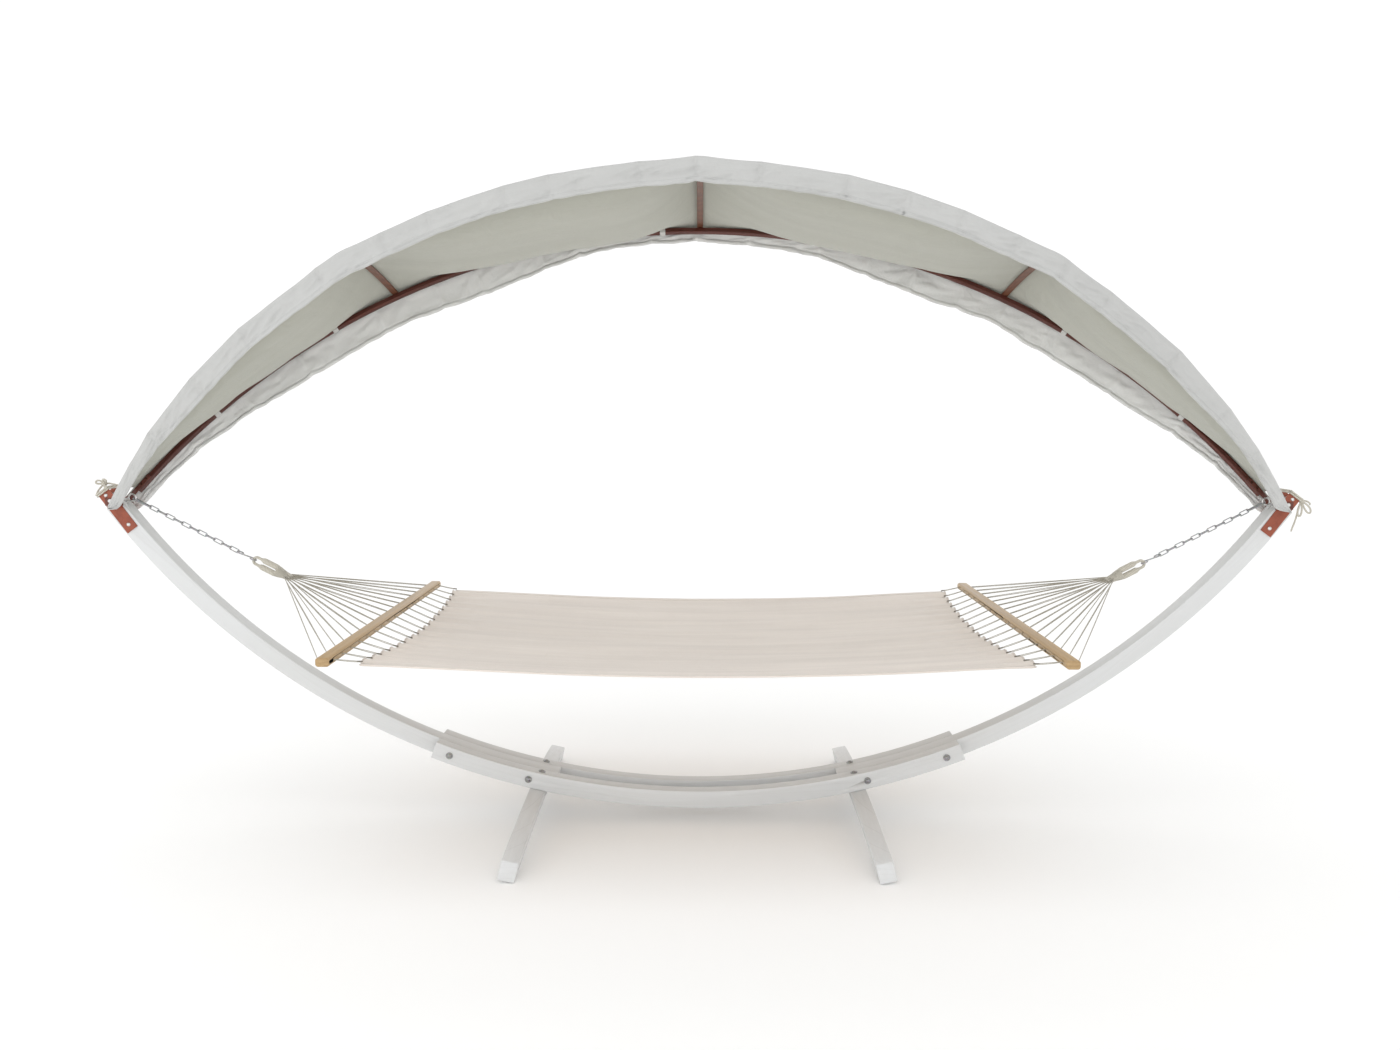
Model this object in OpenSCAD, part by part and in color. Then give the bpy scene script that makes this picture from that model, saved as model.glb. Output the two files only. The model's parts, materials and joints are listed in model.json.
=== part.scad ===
// Two-person hammock on an arched timber stand, with a fabric sunroof.
// Millimetres. X runs along the hammock, -Y is the front, +Z is up.
// The origin is on the ground, under the middle of the rails.

/* [Stand] */
// Outer radius of the curved timbers
frame_r = 2468; // [2350:2:2600]
// Depth of the curved timbers, towards the arc's centre
timber_h = 58; // [50:1:66]
// Thickness of the two arms
arm_t = 62; // [50:1:76]
// Thickness of each centre rail
rail_t = 50; // [40:1:60]
// Room under the middle of the rails
ground_gap = 46; // [38:1:56]
// Angle from the middle of the stand to an arm's tip
tip_angle = 53.9; // [52:0.1:55]
// Angle from the middle of the stand to a rail's end
rail_angle = 21.6; // [20:0.1:24]
// Angle from the middle of the stand to a foot
foot_angle = 12.8; // [12:0.1:14]
// Length of arm that lies past its foot, between the rails
arm_past_foot = 57; // [45:1:70]

/* [Feet] */
// Length of a foot, front to back
foot_l = 1200; // [1000:10:1300]
// Width of a foot
foot_w = 53; // [44:1:62]
// Depth of a foot
foot_h = 50; // [44:1:54]
// How far a foot's end face leans in at its top
foot_bevel = 18; // [5:1:30]

/* [Frame bolts] */
// Diameter of the bolts through rails, arms and feet
bolt_d = 10; // [8:1:12]
// Distance from a rail's end to the outer bolt
rail_bolt_inset = 57; // [45:1:75]
// Distance from a foot's middle to the inner bolt, along the rail
foot_bolt_offset = 38; // [34:1:46]
// Washer diameter
washer_d = 24; // [20:1:28]
// Washer thickness
washer_t = 2; // [1.5:0.5:3]

/* [Arm tips] */
// Length of a tip plate
plate_l = 165; // [150:1:180]
// Width of a tip plate
plate_w = 43; // [36:1:50]
// Thickness of a tip plate
plate_t = 3; // [2:0.5:4]
// How far a tip plate reaches past the arm
plate_over = 57; // [54:1:66]
// Distance of a plate's end bolts from its ends
plate_inset = 22; // [18:1:24]
// Diameter of the bolts through the tip plates
tip_bolt_d = 8; // [6:1:9]
// Distance of the canopy bolt past the arm's end
bow_bolt_out = 12; // [10:0.5:13]
// Outer diameter of the spacer tubes between the plates
spacer_d = 14; // [13:0.5:16]
// Distance of the eye bolt from the arm's end
eye_inset = 15; // [12:1:20]
// Wire diameter of the eye
eye_wire = 6; // [5:0.5:7]
// Clear diameter of the eye
eye_hole = 18; // [17:1:22]
// Length of neck between the arm and the eye's middle
eye_neck = 23; // [20:1:28]

/* [Canopy] */
// Rise of a bow above its ends, in the bow's own plane
bow_rise = 1080; // [1000:1:1150]
// Distance of a bow's line inboard of its bolt
bow_inset = 28; // [24:1:32]
// Depth of a bow, in its own plane
bow_h = 18; // [15:1:24]
// Width of a bow
bow_w = 20; // [18:1:30]
// Angle at which each bow leans away from the other
splay = 19.7; // [15:0.1:24]
// Backward lean of the whole canopy
lean = 5.6; // [3:0.1:7]
// Thickness of the bow straps
strap_t = 3; // [2:0.5:4]
// Length of strap that lies along a bow
strap_l = 105; // [95:1:130]
// Length of strap below the bow's end
strap_bare = 42; // [38:1:50]
// Distance of the side crossbars from the middle
crossbar_x = 1110; // [1000:10:1200]
// Width of a crossbar
crossbar_w = 22; // [18:1:28]
// Thickness of a crossbar
crossbar_t = 9; // [8:1:13]
// Depth of the roof's belly in the left middle bay
sag_left = 195; // [120:5:210]
// Depth of the roof's belly in the right middle bay
sag_right = 170; // [120:5:210]
// Depth of the roof's belly in the outer bays
sag_outer = 140; // [60:5:170]
// Thickness of the canopy's fabric
fabric_t = 1.5; // [1:0.5:2]
// Depth of the valances
valance_w = 69; // [60:1:90]

/* [Hangers] */
// Angle of the chains below the level
hang_pitch = 27.4; // [24:0.1:30]
// Wire diameter of the hooks
hook_wire = 5; // [4:0.5:6]
// Length of a snap hook, between the middles of its end wires
snap_l = 64; // [56:1:72]
// Wire diameter of the chain
chain_wire = 4; // [3:0.5:5]
// Pitch of the chain
chain_pitch = 30; // [26:0.5:34]
// Number of links in each chain
chain_links = 11; // [9:2:13]
// Length of an S-hook, between the middles of its end wires
s_hook_l = 69; // [60:1:78]

/* [Bed] */
// Rope diameter of the clew loops
loop_rope = 10; // [8:0.5:12]
// Length of a clew loop, between the middles of its ends
loop_l = 92; // [80:1:110]
// Distance of the spreader bars from the middle
bar_x = 1060; // [1020:5:1100]
// Height of the spreader bars
bar_z = 690; // [650:5:730]
// Length of the spreader bars
bar_l = 1400; // [1340:10:1500]
// Width of the spreader bars, along the hammock
bar_w = 40; // [34:1:48]
// Thickness of the spreader bars
bar_t = 26; // [22:1:32]
// Number of cords at each end
cords = 17; // [13:2:19]
// Distance of the outermost holes from the bar's ends
hole_inset = 40; // [34:1:60]
// Diameter of the clew cords
cord_d = 4.5; // [3.5:0.5:5]
// Length of the cloth along its middle
cloth_l = 1886; // [1780:2:1900]
// Width of the cloth
cloth_w = 1300; // [1200:10:1320]
// Height of the cloth's ends in the middle
cloth_end_z = 641; // [600:1:660]
// Depth of the cloth's sag between its ends
cloth_sag = 50; // [20:1:90]
// Rise of the cloth's long edges above its middle
cloth_cup = 48; // [20:1:60]
// Thickness of the cloth
cloth_t = 3; // [2:0.5:4]

/* [Hidden] */
$fn = 64;

// Clearances
bolt_play = 0.3;   // round a bolt in its hole
seat_gap = 0.2;    // between a curved face and what it sits on
run_gap = 0.3;     // between the wires of linked parts
fabric_gap = 1;    // between a bow and the fabric over it

// Frame geometry
arc_z = frame_r + ground_gap;
mid_r = frame_r - timber_h / 2;
function arc_deg(length, radius) = length / radius * 180 / PI;
arm_inner_angle = foot_angle - arc_deg(arm_past_foot, mid_r);
bolt_out_angle = rail_angle - arc_deg(rail_bolt_inset, mid_r);
bolt_in_angle = foot_angle + arc_deg(foot_bolt_offset, mid_r);
rail_y = (arm_t + rail_t) / 2;
side_y = arm_t / 2 + rail_t;

// Foot geometry, in a frame that stands square to the rail above it
foot_top_z = arc_z - frame_r * cos(foot_angle) - seat_gap;
foot_drop = (foot_top_z - foot_w / 2 * sin(foot_angle)) / cos(foot_angle);
foot_seat = side_y + 4;
foot_rise = foot_drop - foot_h;
foot_lift = pow(foot_seat, 2) * foot_rise / pow(foot_l / 2, 2);
foot_sag = foot_rise + foot_lift;
foot_r = (pow(foot_l / 2, 2) + pow(foot_sag, 2)) / (2 * foot_sag);

// Fasteners
head_d = bolt_d * 1.6;
head_h = bolt_d * 0.5;
nut_h = bolt_d * 0.8;
washer_lift = 0.1;
tip_head_d = tip_bolt_d * 1.7;
tip_head_h = tip_bolt_d * 0.5;
screw_d = 4;
screw_head_d = 8;
screw_head_h = 2;
screw_bite = 14;

// Arm tips: places along the plate, measured from the arm's end
plate_y = arm_t / 2;
plate_outer_y = plate_y + plate_t;
lower_bolt_x = plate_over - plate_l + plate_inset;
upper_bolt_x = plate_over - plate_inset;
strap_outer_y = plate_outer_y + strap_t;
leaf_reach = 16;
tip_x = mid_r * sin(tip_angle);
tip_z = arc_z - mid_r * cos(tip_angle);
bow_bolt_x = tip_x + bow_bolt_out * cos(tip_angle);
bow_bolt_z = tip_z + bow_bolt_out * sin(tip_angle);
eye_r = (eye_hole + eye_wire) / 2;
eye_z = timber_h / 2 + eye_neck;

// Canopy geometry, in the canopy's own frame before it leans
canopy_z = bow_bolt_z;
bow_half = bow_bolt_x - bow_inset;
bow_r = (pow(bow_half, 2) + pow(bow_rise, 2)) / (2 * bow_rise);
bow_drop = bow_r - bow_rise;
bow_end = asin(bow_half / bow_r);
bow_y = plate_outer_y + (strap_t + bow_w / 2) * cos(splay);
bow_cut = bow_end - arc_deg(strap_bare, bow_r);
bow_top_r = bow_r + bow_h / 2;
crossbar_angle = asin(crossbar_x / bow_top_r);
crossbar_seat = 0.5;
strap_w = bow_h - 2;

// Roof fabric
roof_end = bow_cut - 0.5;
valance_end = bow_end + 0.7;
roof_r = bow_top_r + fabric_gap;
roof_flat = crossbar_w / 2 + 3;
roof_ease = 180;
roof_steps = 10;
roof_across = 10;
valance_steps = 64;
roof_flat_deg = arc_deg(roof_flat, bow_top_r);
tab_places = [-1700, -1320, -140, 1320, 1700];

// The ties that hold the roof's corners to the tips
tie_d = 5;
tie_knot_d = 14;
tie_knot_y = 18;
tie_bight_r = 10;
tie_tail = 70;
tie_x = plate_over - 9;
tab_t = 1.2;
tab_w = 20;

// Hangers
eye_x = tip_x - eye_inset * cos(tip_angle) - eye_z * sin(tip_angle);
eye_height = tip_z - eye_inset * sin(tip_angle) + eye_z * cos(tip_angle);
hang_x = eye_x - eye_r * cos(hang_pitch);
hang_z = eye_height - eye_r * sin(hang_pitch);
leg_sink = 1;
leg_share = 0.92;
snap_x = -(eye_wire / 2 + run_gap + hook_wire / 2);
link_step = run_gap + (hook_wire + chain_wire) / 2;
chain_x = snap_x + snap_l - link_step;
link_l = chain_pitch + chain_wire + run_gap;
s_hook_x = chain_x + (chain_links - 1) * chain_pitch + link_l - link_step;
s_curl_r = 11;
s_sweep = 250;
bed_axis_x = s_hook_x + s_hook_l;
loop_x = bed_axis_x - (hook_wire + loop_rope) / 2 - run_gap;
loop_r = 12;
band_x = loop_x + loop_l + loop_rope / 2 + run_gap;
band_l = 34;
band_h = 26;
cord_row = 6;
cord_rows = 4;
cord_step = 2.4;
band_w = cord_step * (cords - 1) + cord_d + 4;
fan_x = band_x + band_l + run_gap;

// Bed
hole_gap = 0.4;
hole_d = cord_d + 2 * hole_gap;
hole_pitch = (bar_l - 2 * hole_inset) / (cords - 1);
cord_bend = 6;
cloth_corner = 25;
cloth_tie_gap = 0.5;
cloth_cols = 24;
cloth_rows = 12;

// Places children on the frame's arc, with +Z towards the arc's centre
module at_arc(angle, radius) {
    translate([radius * sin(angle), 0, arc_z - radius * cos(angle)])
        rotate([0, -angle, 0])
            children();
}

// Places children at an arm's tip: side is -1 for the left and 1 for the right
module at_tip(side) {
    mirror([side < 0 ? 1 : 0, 0, 0])
        at_arc(tip_angle, mid_r)
            children();
}

// A curved timber of the stand between two angles from the bottom
module frame_arc(from, to, thickness) {
    translate([0, 0, arc_z])
        rotate([90, 0, 0])
            rotate([0, 0, from - 90])
                rotate_extrude(angle = to - from, $fn = 200)
                    translate([frame_r - timber_h, -thickness / 2])
                        square([timber_h, thickness]);
}

// A ring sector that stands in the XZ plane, with angles counted from its top
module top_arc(inner, outer, thickness, from, to) {
    rotate([90, 0, 0])
        rotate([0, 0, 90 - to])
            rotate_extrude(angle = to - from, $fn = 200)
                translate([inner, -thickness / 2])
                    square([outer - inner, thickness]);
}

// A straight hole or pin along Y
module along_y(diameter, length) {
    rotate([90, 0, 0])
        cylinder(d = diameter, h = length, center = true);
}

// A round dome, flat side down
module dome(diameter, height) {
    radius = (pow(diameter / 2, 2) + pow(height, 2)) / (2 * height);
    intersection() {
        translate([0, 0, height - radius])
            sphere(radius);
        cylinder(d = diameter + 1, h = height);
    }
}

// A bolt whose head is under z = 0 and whose shank rises along +Z
module bolt(diameter, shank, head_diameter, head_height) {
    rotate([180, 0, 0])
        dome(head_diameter, head_height);
    cylinder(d = diameter, h = shank);
}

// A hexagonal nut that stands on z = 0
module nut(diameter, height) {
    difference() {
        cylinder(d = diameter * 1.9, h = height, $fn = 6);
        translate([0, 0, -1])
            cylinder(d = diameter + bolt_play, h = height + 2);
    }
}

// A flat washer that stands on z = 0
module washer() {
    difference() {
        cylinder(d = washer_d, h = washer_t);
        translate([0, 0, -1])
            cylinder(d = bolt_d + 2 * bolt_play, h = washer_t + 2);
    }
}

// The places of the four bolts through rails and arms
module at_frame_bolts() {
    for (side = [-1, 1])
        for (angle = [bolt_in_angle, bolt_out_angle])
            at_arc(side * angle, mid_r)
                children();
}

// The places of the four bolts through rails and feet, at the rails' top faces
module at_foot_bolts() {
    for (side = [-1, 1])
        for (y = [-rail_y, rail_y])
            at_arc(side * foot_angle, frame_r - timber_h)
                translate([0, y, 0])
                    children();
}

module rail(y) {
    difference() {
        translate([0, y, 0])
            frame_arc(-rail_angle, rail_angle, rail_t);
        at_frame_bolts()
            along_y(bolt_d + 2 * bolt_play, 2 * side_y + 20);
        at_foot_bolts()
            translate([0, 0, -timber_h - 10])
                cylinder(d = bolt_d + 2 * bolt_play, h = timber_h + 20);
    }
}

module arm(side) {
    mirror([side < 0 ? 1 : 0, 0, 0])
        difference() {
            frame_arc(arm_inner_angle, tip_angle, arm_t - 2 * seat_gap);
            for (angle = [bolt_in_angle, bolt_out_angle])
                at_arc(angle, mid_r)
                    along_y(bolt_d + 2 * bolt_play, arm_t + 20);
            at_arc(tip_angle, mid_r) {
                translate([lower_bolt_x, 0, 0])
                    along_y(tip_bolt_d + 2 * bolt_play, arm_t + 20);
                translate([-eye_inset, 0, -timber_h])
                    cylinder(d = eye_wire + 2 * bolt_play, h = 2 * timber_h);
            }
        }
}

module foot(side) {
    centre_z = foot_lift - foot_h - foot_r;
    at_arc(side * foot_angle, frame_r + seat_gap)
        difference() {
            translate([foot_w / 2, 0, 0])
                rotate([90, 0, -90])
                    linear_extrude(foot_w)
                        intersection() {
                            difference() {
                                translate([0, centre_z])
                                    circle(foot_r + foot_h, $fn = 200);
                                translate([0, centre_z])
                                    circle(foot_r, $fn = 200);
                            }
                            polygon([
                                [-foot_l / 2, -foot_drop],
                                [foot_l / 2, -foot_drop],
                                [foot_l / 2 - foot_bevel * foot_drop / foot_h, 0],
                                [foot_bevel * foot_drop / foot_h - foot_l / 2, 0]
                            ]);
                        }
            for (y = [-rail_y, rail_y])
                translate([0, y, -2 * foot_h])
                    cylinder(d = bolt_d + 2 * bolt_play, h = 3 * foot_h);
        }
}

// Canopy frame: origin between the bows' ends, leaning back as the canopy does
module canopy_frame() {
    translate([0, 0, canopy_z])
        rotate([-lean, 0, 0])
            children();
}

// Plane of the front (side -1) or back (side 1) bow, its arc centred on the origin
module bow_plane(side) {
    translate([0, side * bow_y, 0])
        rotate([-side * splay, 0, 0])
            translate([0, 0, -bow_drop])
                children();
}

// Places children on a bow's outer face, +Z pointing away from the arc's centre
module at_bow_top(side, angle) {
    bow_plane(side)
        rotate([0, angle, 0])
            translate([0, 0, bow_top_r])
                children();
}

// Places children on a strap's inner face, +Z pointing into the bow
module at_strap_screws(side, mirrored) {
    for (reach = [0.62, 0.86])
        bow_plane(side)
            rotate([0, mirrored * (bow_end - arc_deg(reach * strap_l, bow_r)), 0])
                translate([0, -side * (bow_w / 2 + strap_t), bow_r])
                    rotate([-side * 90, 0, 0])
                        children();
}

module bow(side) {
    canopy_frame()
        difference() {
            bow_plane(side)
                top_arc(bow_r - bow_h / 2, bow_top_r, bow_w, -bow_cut, bow_cut);
            for (angle = [-crossbar_angle, 0, crossbar_angle])
                at_bow_top(side, angle)
                    translate([0, 0, -screw_bite])
                        cylinder(d = screw_d + 2 * bolt_play, h = screw_bite + 1);
            for (mirrored = [-1, 1])
                at_strap_screws(side, mirrored)
                    cylinder(d = screw_d + 2 * bolt_play, h = strap_t + screw_bite);
        }
}

// A bent steel strap: one leaf flat on the tip plates, one along the bow
module strap(end, side) {
    leaf_low = min(bow_half, bow_bolt_x) - leaf_reach;
    leaf_up = (upper_bolt_x - bow_bolt_out) * sin(tip_angle) - tip_head_d / 2 - 2;
    difference() {
        union() {
            mirror([end < 0 ? 1 : 0, 0, 0])
                translate([leaf_low, side > 0 ? plate_outer_y : -strap_outer_y, canopy_z - leaf_reach])
                    cube([bow_bolt_x + leaf_reach - leaf_low, strap_t, leaf_reach + leaf_up]);
            intersection() {
                canopy_frame()
                    bow_plane(side)
                        translate([0, -side * (bow_w + strap_t) / 2, 0])
                            top_arc(bow_r - strap_w / 2, bow_r + strap_w / 2, strap_t,
                                end < 0 ? -bow_end : bow_end - arc_deg(strap_l, bow_r),
                                end < 0 ? arc_deg(strap_l, bow_r) - bow_end : bow_end);
                translate([-2 * bow_half, side > 0 ? plate_outer_y : -plate_outer_y - bow_half, 0])
                    cube([4 * bow_half, bow_half, 2 * canopy_z]);
            }
        }
        translate([end * bow_bolt_x, 0, bow_bolt_z])
            along_y(tip_bolt_d + 2 * bolt_play, 3 * strap_outer_y);
        canopy_frame()
            at_strap_screws(side, end)
                translate([0, 0, -1])
                    cylinder(d = screw_d + 2 * bolt_play, h = strap_t + 2);
    }
}

// How a crossbar sits on both bows at an angle along them
function top_y(angle, radius) = bow_y + (radius * cos(angle) - bow_drop) * sin(splay);
function top_n(angle, radius) =
    radius * pow(sin(angle), 2) + (radius * cos(angle) - bow_drop) * cos(splay) * cos(angle);
function cross_tilt(angle) =
    atan2(cos(angle) * sin(splay), pow(sin(angle), 2) + pow(cos(angle), 2) * cos(splay));
function cross_r(angle, radius) = top_y(angle, radius) / sin(cross_tilt(angle));

module crossbar(angle) {
    tilt = cross_tilt(angle);
    under_r = cross_r(angle, bow_top_r);
    reach = tilt + arc_deg(bow_w / 2, under_r);
    along = bow_top_r * sin(angle) * cos(angle)
        - (bow_top_r * cos(angle) - bow_drop) * cos(splay) * sin(angle);
    canopy_frame()
        difference() {
            rotate([0, angle, 0])
                translate([along, 0, top_n(angle, bow_top_r) - under_r * cos(tilt)])
                    rotate([0, 0, 90])
                        top_arc(under_r + crossbar_seat, under_r + crossbar_seat + crossbar_t,
                            crossbar_w, -reach, reach);
            for (side = [-1, 1])
                at_bow_top(side, angle)
                    translate([0, 0, -1])
                        cylinder(d = screw_d + 2 * bolt_play, h = crossbar_t + 5);
        }
}

// How far the fabric is lifted off the bows near each crossbar
function near_bar(angle, bar) =
    max(0, 1 - max(0, abs(angle - bar) - arc_deg(roof_flat, bow_top_r)) / arc_deg(roof_ease, bow_top_r));
function lift_at(angle) =
    (crossbar_t + crossbar_seat + 0.5)
        * pow(max([for (bar = [-crossbar_angle, 0, crossbar_angle]) near_bar(angle, bar)]), 2);

// A point of a bow's surroundings: radius from the arc's centre, offset out of its plane
function bow_point(side, angle, radius, out) = [
    radius * sin(angle),
    side * (bow_y + (radius * cos(angle) - bow_drop) * sin(splay) + out * cos(splay)),
    (radius * cos(angle) - bow_drop) * cos(splay) - out * sin(splay)
];

// A point of the roof between the bows, at a share -1 to 1 of its width
function roof_point(angle, share, sag) =
    let (
        radius = roof_r + lift_at(angle),
        tilt = cross_tilt(angle),
        turn = share * (tilt - arc_deg(bow_w / 2 + 7, cross_r(angle, radius))),
        arch = cross_r(angle, radius),
        n = top_n(angle, radius) - arch * cos(tilt) + arch * cos(turn)
            - sag * (1 - share * share) * top_y(angle, radius) / top_y(0, roof_r),
        t = radius * sin(angle) * cos(angle)
            - (radius * cos(angle) - bow_drop) * cos(splay) * sin(angle)
    )
    [t * cos(angle) + n * sin(angle), arch * sin(turn), n * cos(angle) - t * sin(angle)];

// One line of the roof's underside, from the front edge to the back edge
function roof_line(angle, sag) =
    let (radius = roof_r + lift_at(angle))
    concat(
        [bow_point(-1, angle, radius, bow_w / 2 + 1.7), bow_point(-1, angle, radius, -bow_w / 2 - 1)],
        [for (i = [0:roof_across]) roof_point(angle, 2 * i / roof_across - 1, sag)],
        [bow_point(1, angle, radius, -bow_w / 2 - 1), bow_point(1, angle, radius, bow_w / 2 + 1.7)]
    );

// The roof's stations: each bay between supports, with the sag at each
function bay_lines(from, to, sag) = [
    for (i = [0:roof_steps])
        let (share = i / roof_steps)
        [from + (to - from) * share, sag * 4 * share * (1 - share)]
];
roof_stations = concat(
    bay_lines(-roof_end, -crossbar_angle - roof_flat_deg, sag_outer),
    bay_lines(-crossbar_angle + roof_flat_deg, -roof_flat_deg, sag_left),
    bay_lines(roof_flat_deg, crossbar_angle - roof_flat_deg, sag_right),
    bay_lines(crossbar_angle + roof_flat_deg, roof_end, sag_outer)
);

// A closed skin between an upper and a lower grid of points with the same shape
module slab(upper, lower) {
    rows = len(upper);
    cols = len(upper[0]);
    count = rows * cols;
    points = concat([for (row = upper) for (p = row) p], [for (row = lower) for (p = row) p]);
    top_faces = [
        for (i = [0:rows - 2])
            for (j = [0:cols - 2])
                let (a = i * cols + j, b = a + 1, c = a + cols, d = c + 1)
                for (face = [[a, b, d], [a, d, c]]) face
    ];
    low_faces = [for (face = top_faces) [face[0] + count, face[2] + count, face[1] + count]];
    rim = concat(
        [for (j = [0:cols - 2]) [j, j + 1]],
        [for (i = [0:rows - 2]) [i * cols + cols - 1, (i + 1) * cols + cols - 1]],
        [for (j = [cols - 2:-1:0]) [(rows - 1) * cols + j + 1, (rows - 1) * cols + j]],
        [for (i = [rows - 2:-1:0]) [(i + 1) * cols, i * cols]]
    );
    rim_faces = [
        for (edge = rim)
            for (face = [[edge[1], edge[0], edge[0] + count], [edge[1], edge[0] + count, edge[1] + count]])
                face
    ];
    polyhedron(points, concat(top_faces, low_faces, rim_faces), convexity = 10);
}

// One line across a valance, from its top edge to its hem
function valance_line(side, angle, out) = [
    for (share = [0, 0.35, 0.7, 1])
        bow_point(side, angle, roof_r + fabric_t + lift_at(angle) - share * valance_w,
            bow_w / 2 + 2 + out + 6 * share * share)
];

module valance(side) {
    angles = [for (i = [0:valance_steps]) valance_end * (2 * i / valance_steps - 1)];
    outer = [for (angle = angles) valance_line(side, angle, fabric_t)];
    inner = [for (angle = angles) valance_line(side, angle, 0)];
    canopy_frame()
        slab(side < 0 ? outer : inner, side < 0 ? inner : outer);
}

// A fabric tab round three sides of a bow, under the roof
module tab(side, angle) {
    half = arc_deg(tab_w / 2, bow_r);
    low_r = bow_r - bow_h / 2 - seat_gap - tab_t;
    wall = bow_w / 2 + seat_gap;
    bow_plane(side)
        difference() {
            top_arc(low_r, bow_top_r - 1, 2 * (wall + tab_t), angle - half, angle + half);
            top_arc(low_r + tab_t, bow_top_r, 2 * wall, angle - 2 * half, angle + 2 * half);
        }
}

// A cord's straight run between two points, with a round end of the same cord at its start
module cord_run(from, to) {
    run = to - from;
    translate(from) {
        rotate([0, acos(run.z / norm(run)), atan2(run.y, run.x)])
            cylinder(d = tie_d, h = norm(run), $fn = 16);
        sphere(d = tie_d * 1.1, $fn = 16);
    }
}

// The tie at a tip: a cord round both plates, with a knot, two bights and two tails
module canopy_tie(side) {
    reach_y = plate_outer_y + tie_d / 2 + seat_gap;
    reach_z = plate_w / 2 + tie_d / 2 + seat_gap;
    knot_z = -reach_z - tie_knot_d / 2 + 1;
    corners = [[tie_x, -reach_y, -reach_z], [tie_x, reach_y, -reach_z],
        [tie_x, reach_y, reach_z], [tie_x, -reach_y, reach_z]];
    knot = tip_point(tie_x, -tie_knot_y, knot_z);
    mirror([side < 0 ? 1 : 0, 0, 0]) {
        at_tip(1) {
            for (i = [0:3])
                cord_run(corners[i], corners[(i + 1) % 4]);
            for (hand = [-1, 1])
                translate([tie_x, -tie_knot_y + hand * (tie_bight_r + 3), knot_z - tie_bight_r - 1])
                    rotate([0, 90, 0])
                        rotate_extrude($fn = 32)
                            translate([tie_bight_r, 0])
                                circle(d = tie_d, $fn = 16);
        }
        translate(knot)
            sphere(d = tie_knot_d, $fn = 24);
        for (tail = [[6, -4, -tie_tail], [-9, 4, -tie_tail * 0.85]])
            cord_run(knot + tail, knot);
    }
}

// A point given along the right tip's plate, across it and up from it
function tip_point(along, y, up) = [
    tip_x + along * cos(tip_angle) - up * sin(tip_angle),
    y,
    tip_z + along * sin(tip_angle) + up * cos(tip_angle)
];

// Hangers: +X runs down the chain from the eye, Y across, on the right or left side
module at_hanger(side) {
    mirror([side < 0 ? 1 : 0, 0, 0])
        translate([hang_x, 0, hang_z])
            rotate([0, 180 - hang_pitch, 0])
                children();
}

// A closed wire round two ends of given radii, lying in the XY plane, first end at x = 0
module wire_loop(length, first_r, last_r, wire) {
    span = length - first_r - last_r;
    lead = asin((first_r - last_r) / span);
    translate([first_r, 0, 0])
        rotate([0, 0, 90 - lead])
            curl(first_r, 180 + 2 * lead, wire);
    translate([first_r + span, 0, 0])
        rotate([0, 0, lead - 90])
            curl(last_r, 180 - 2 * lead, wire);
    for (hand = [-1, 1])
        translate([first_r + first_r * sin(lead), hand * first_r * cos(lead), 0])
            rotate([0, 90, -hand * lead])
                leg(span * cos(lead), wire);
}

// Bent wire in the XY plane, and a straight leg along +Z whose ends sink into two curls
module curl(radius, sweep, wire) {
    rotate_extrude(angle = sweep)
        translate([radius, 0])
            circle(d = wire, $fn = 24);
}

module leg(length, wire) {
    translate([0, 0, -leg_sink])
        cylinder(d = wire * leg_share, h = length + 2 * leg_sink, $fn = 24);
}

module eye_bolt(side) {
    at_tip(side)
        translate([-eye_inset, 0, 0]) {
            translate([0, 0, eye_z])
                rotate([90, 0, 0])
                    rotate_extrude()
                        translate([eye_r, 0])
                            circle(d = eye_wire, $fn = 32);
            translate([0, 0, -timber_h / 2 - washer_t - tip_bolt_d])
                cylinder(d = eye_wire, h = timber_h / 2 + washer_t + tip_bolt_d + eye_z - eye_r);
            translate([0, 0, timber_h / 2])
                cylinder(d = eye_wire * 2, h = 2);
        }
}

module snap_hook(side) {
    color("silver")
        at_hanger(side)
            translate([snap_x, 0, 0])
                wire_loop(snap_l, 10, 5.5, hook_wire);
}

module chain(side) {
    color("silver")
        at_hanger(side)
            for (i = [0:chain_links - 1])
                translate([chain_x + i * chain_pitch, 0, 0])
                    rotate([i % 2 == 0 ? 90 : 0, 0, 0])
                        wire_loop(link_l, 6, 6, chain_wire);
}

// An S-hook in the XY plane: two open curls and the straight leg that touches both
module s_hook(side) {
    span = s_hook_l - 2 * s_curl_r;
    lean_in = asin(2 * s_curl_r / span);
    color("silver")
        at_hanger(side)
            translate([s_hook_x + s_curl_r, 0, 0]) {
                rotate([0, 0, 270 + lean_in - s_sweep])
                    curl(s_curl_r, s_sweep, hook_wire);
                translate([span, 0, 0])
                    rotate([0, 0, 90 + lean_in - s_sweep])
                        curl(s_curl_r, s_sweep, hook_wire);
                translate([s_curl_r * sin(lean_in), -s_curl_r * cos(lean_in), 0])
                    rotate([0, 90, lean_in])
                        leg(span * cos(lean_in), hook_wire);
            }
}

module clew_loop(side) {
    color("wheat")
        at_hanger(side)
            translate([loop_x, 0, 0])
                rotate([90, 0, 0])
                    wire_loop(loop_l, loop_r, loop_r, loop_rope);
}

module clew_band(side) {
    color("wheat")
        at_hanger(side)
            translate([band_x, 0, 0])
                rotate([90, 0, 90])
                    linear_extrude(band_l) {
                        square([band_w - band_h, band_h], center = true);
                        for (hand = [-1, 1])
                            translate([hand * (band_w - band_h) / 2, 0])
                                circle(d = band_h);
                    }
}

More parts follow.
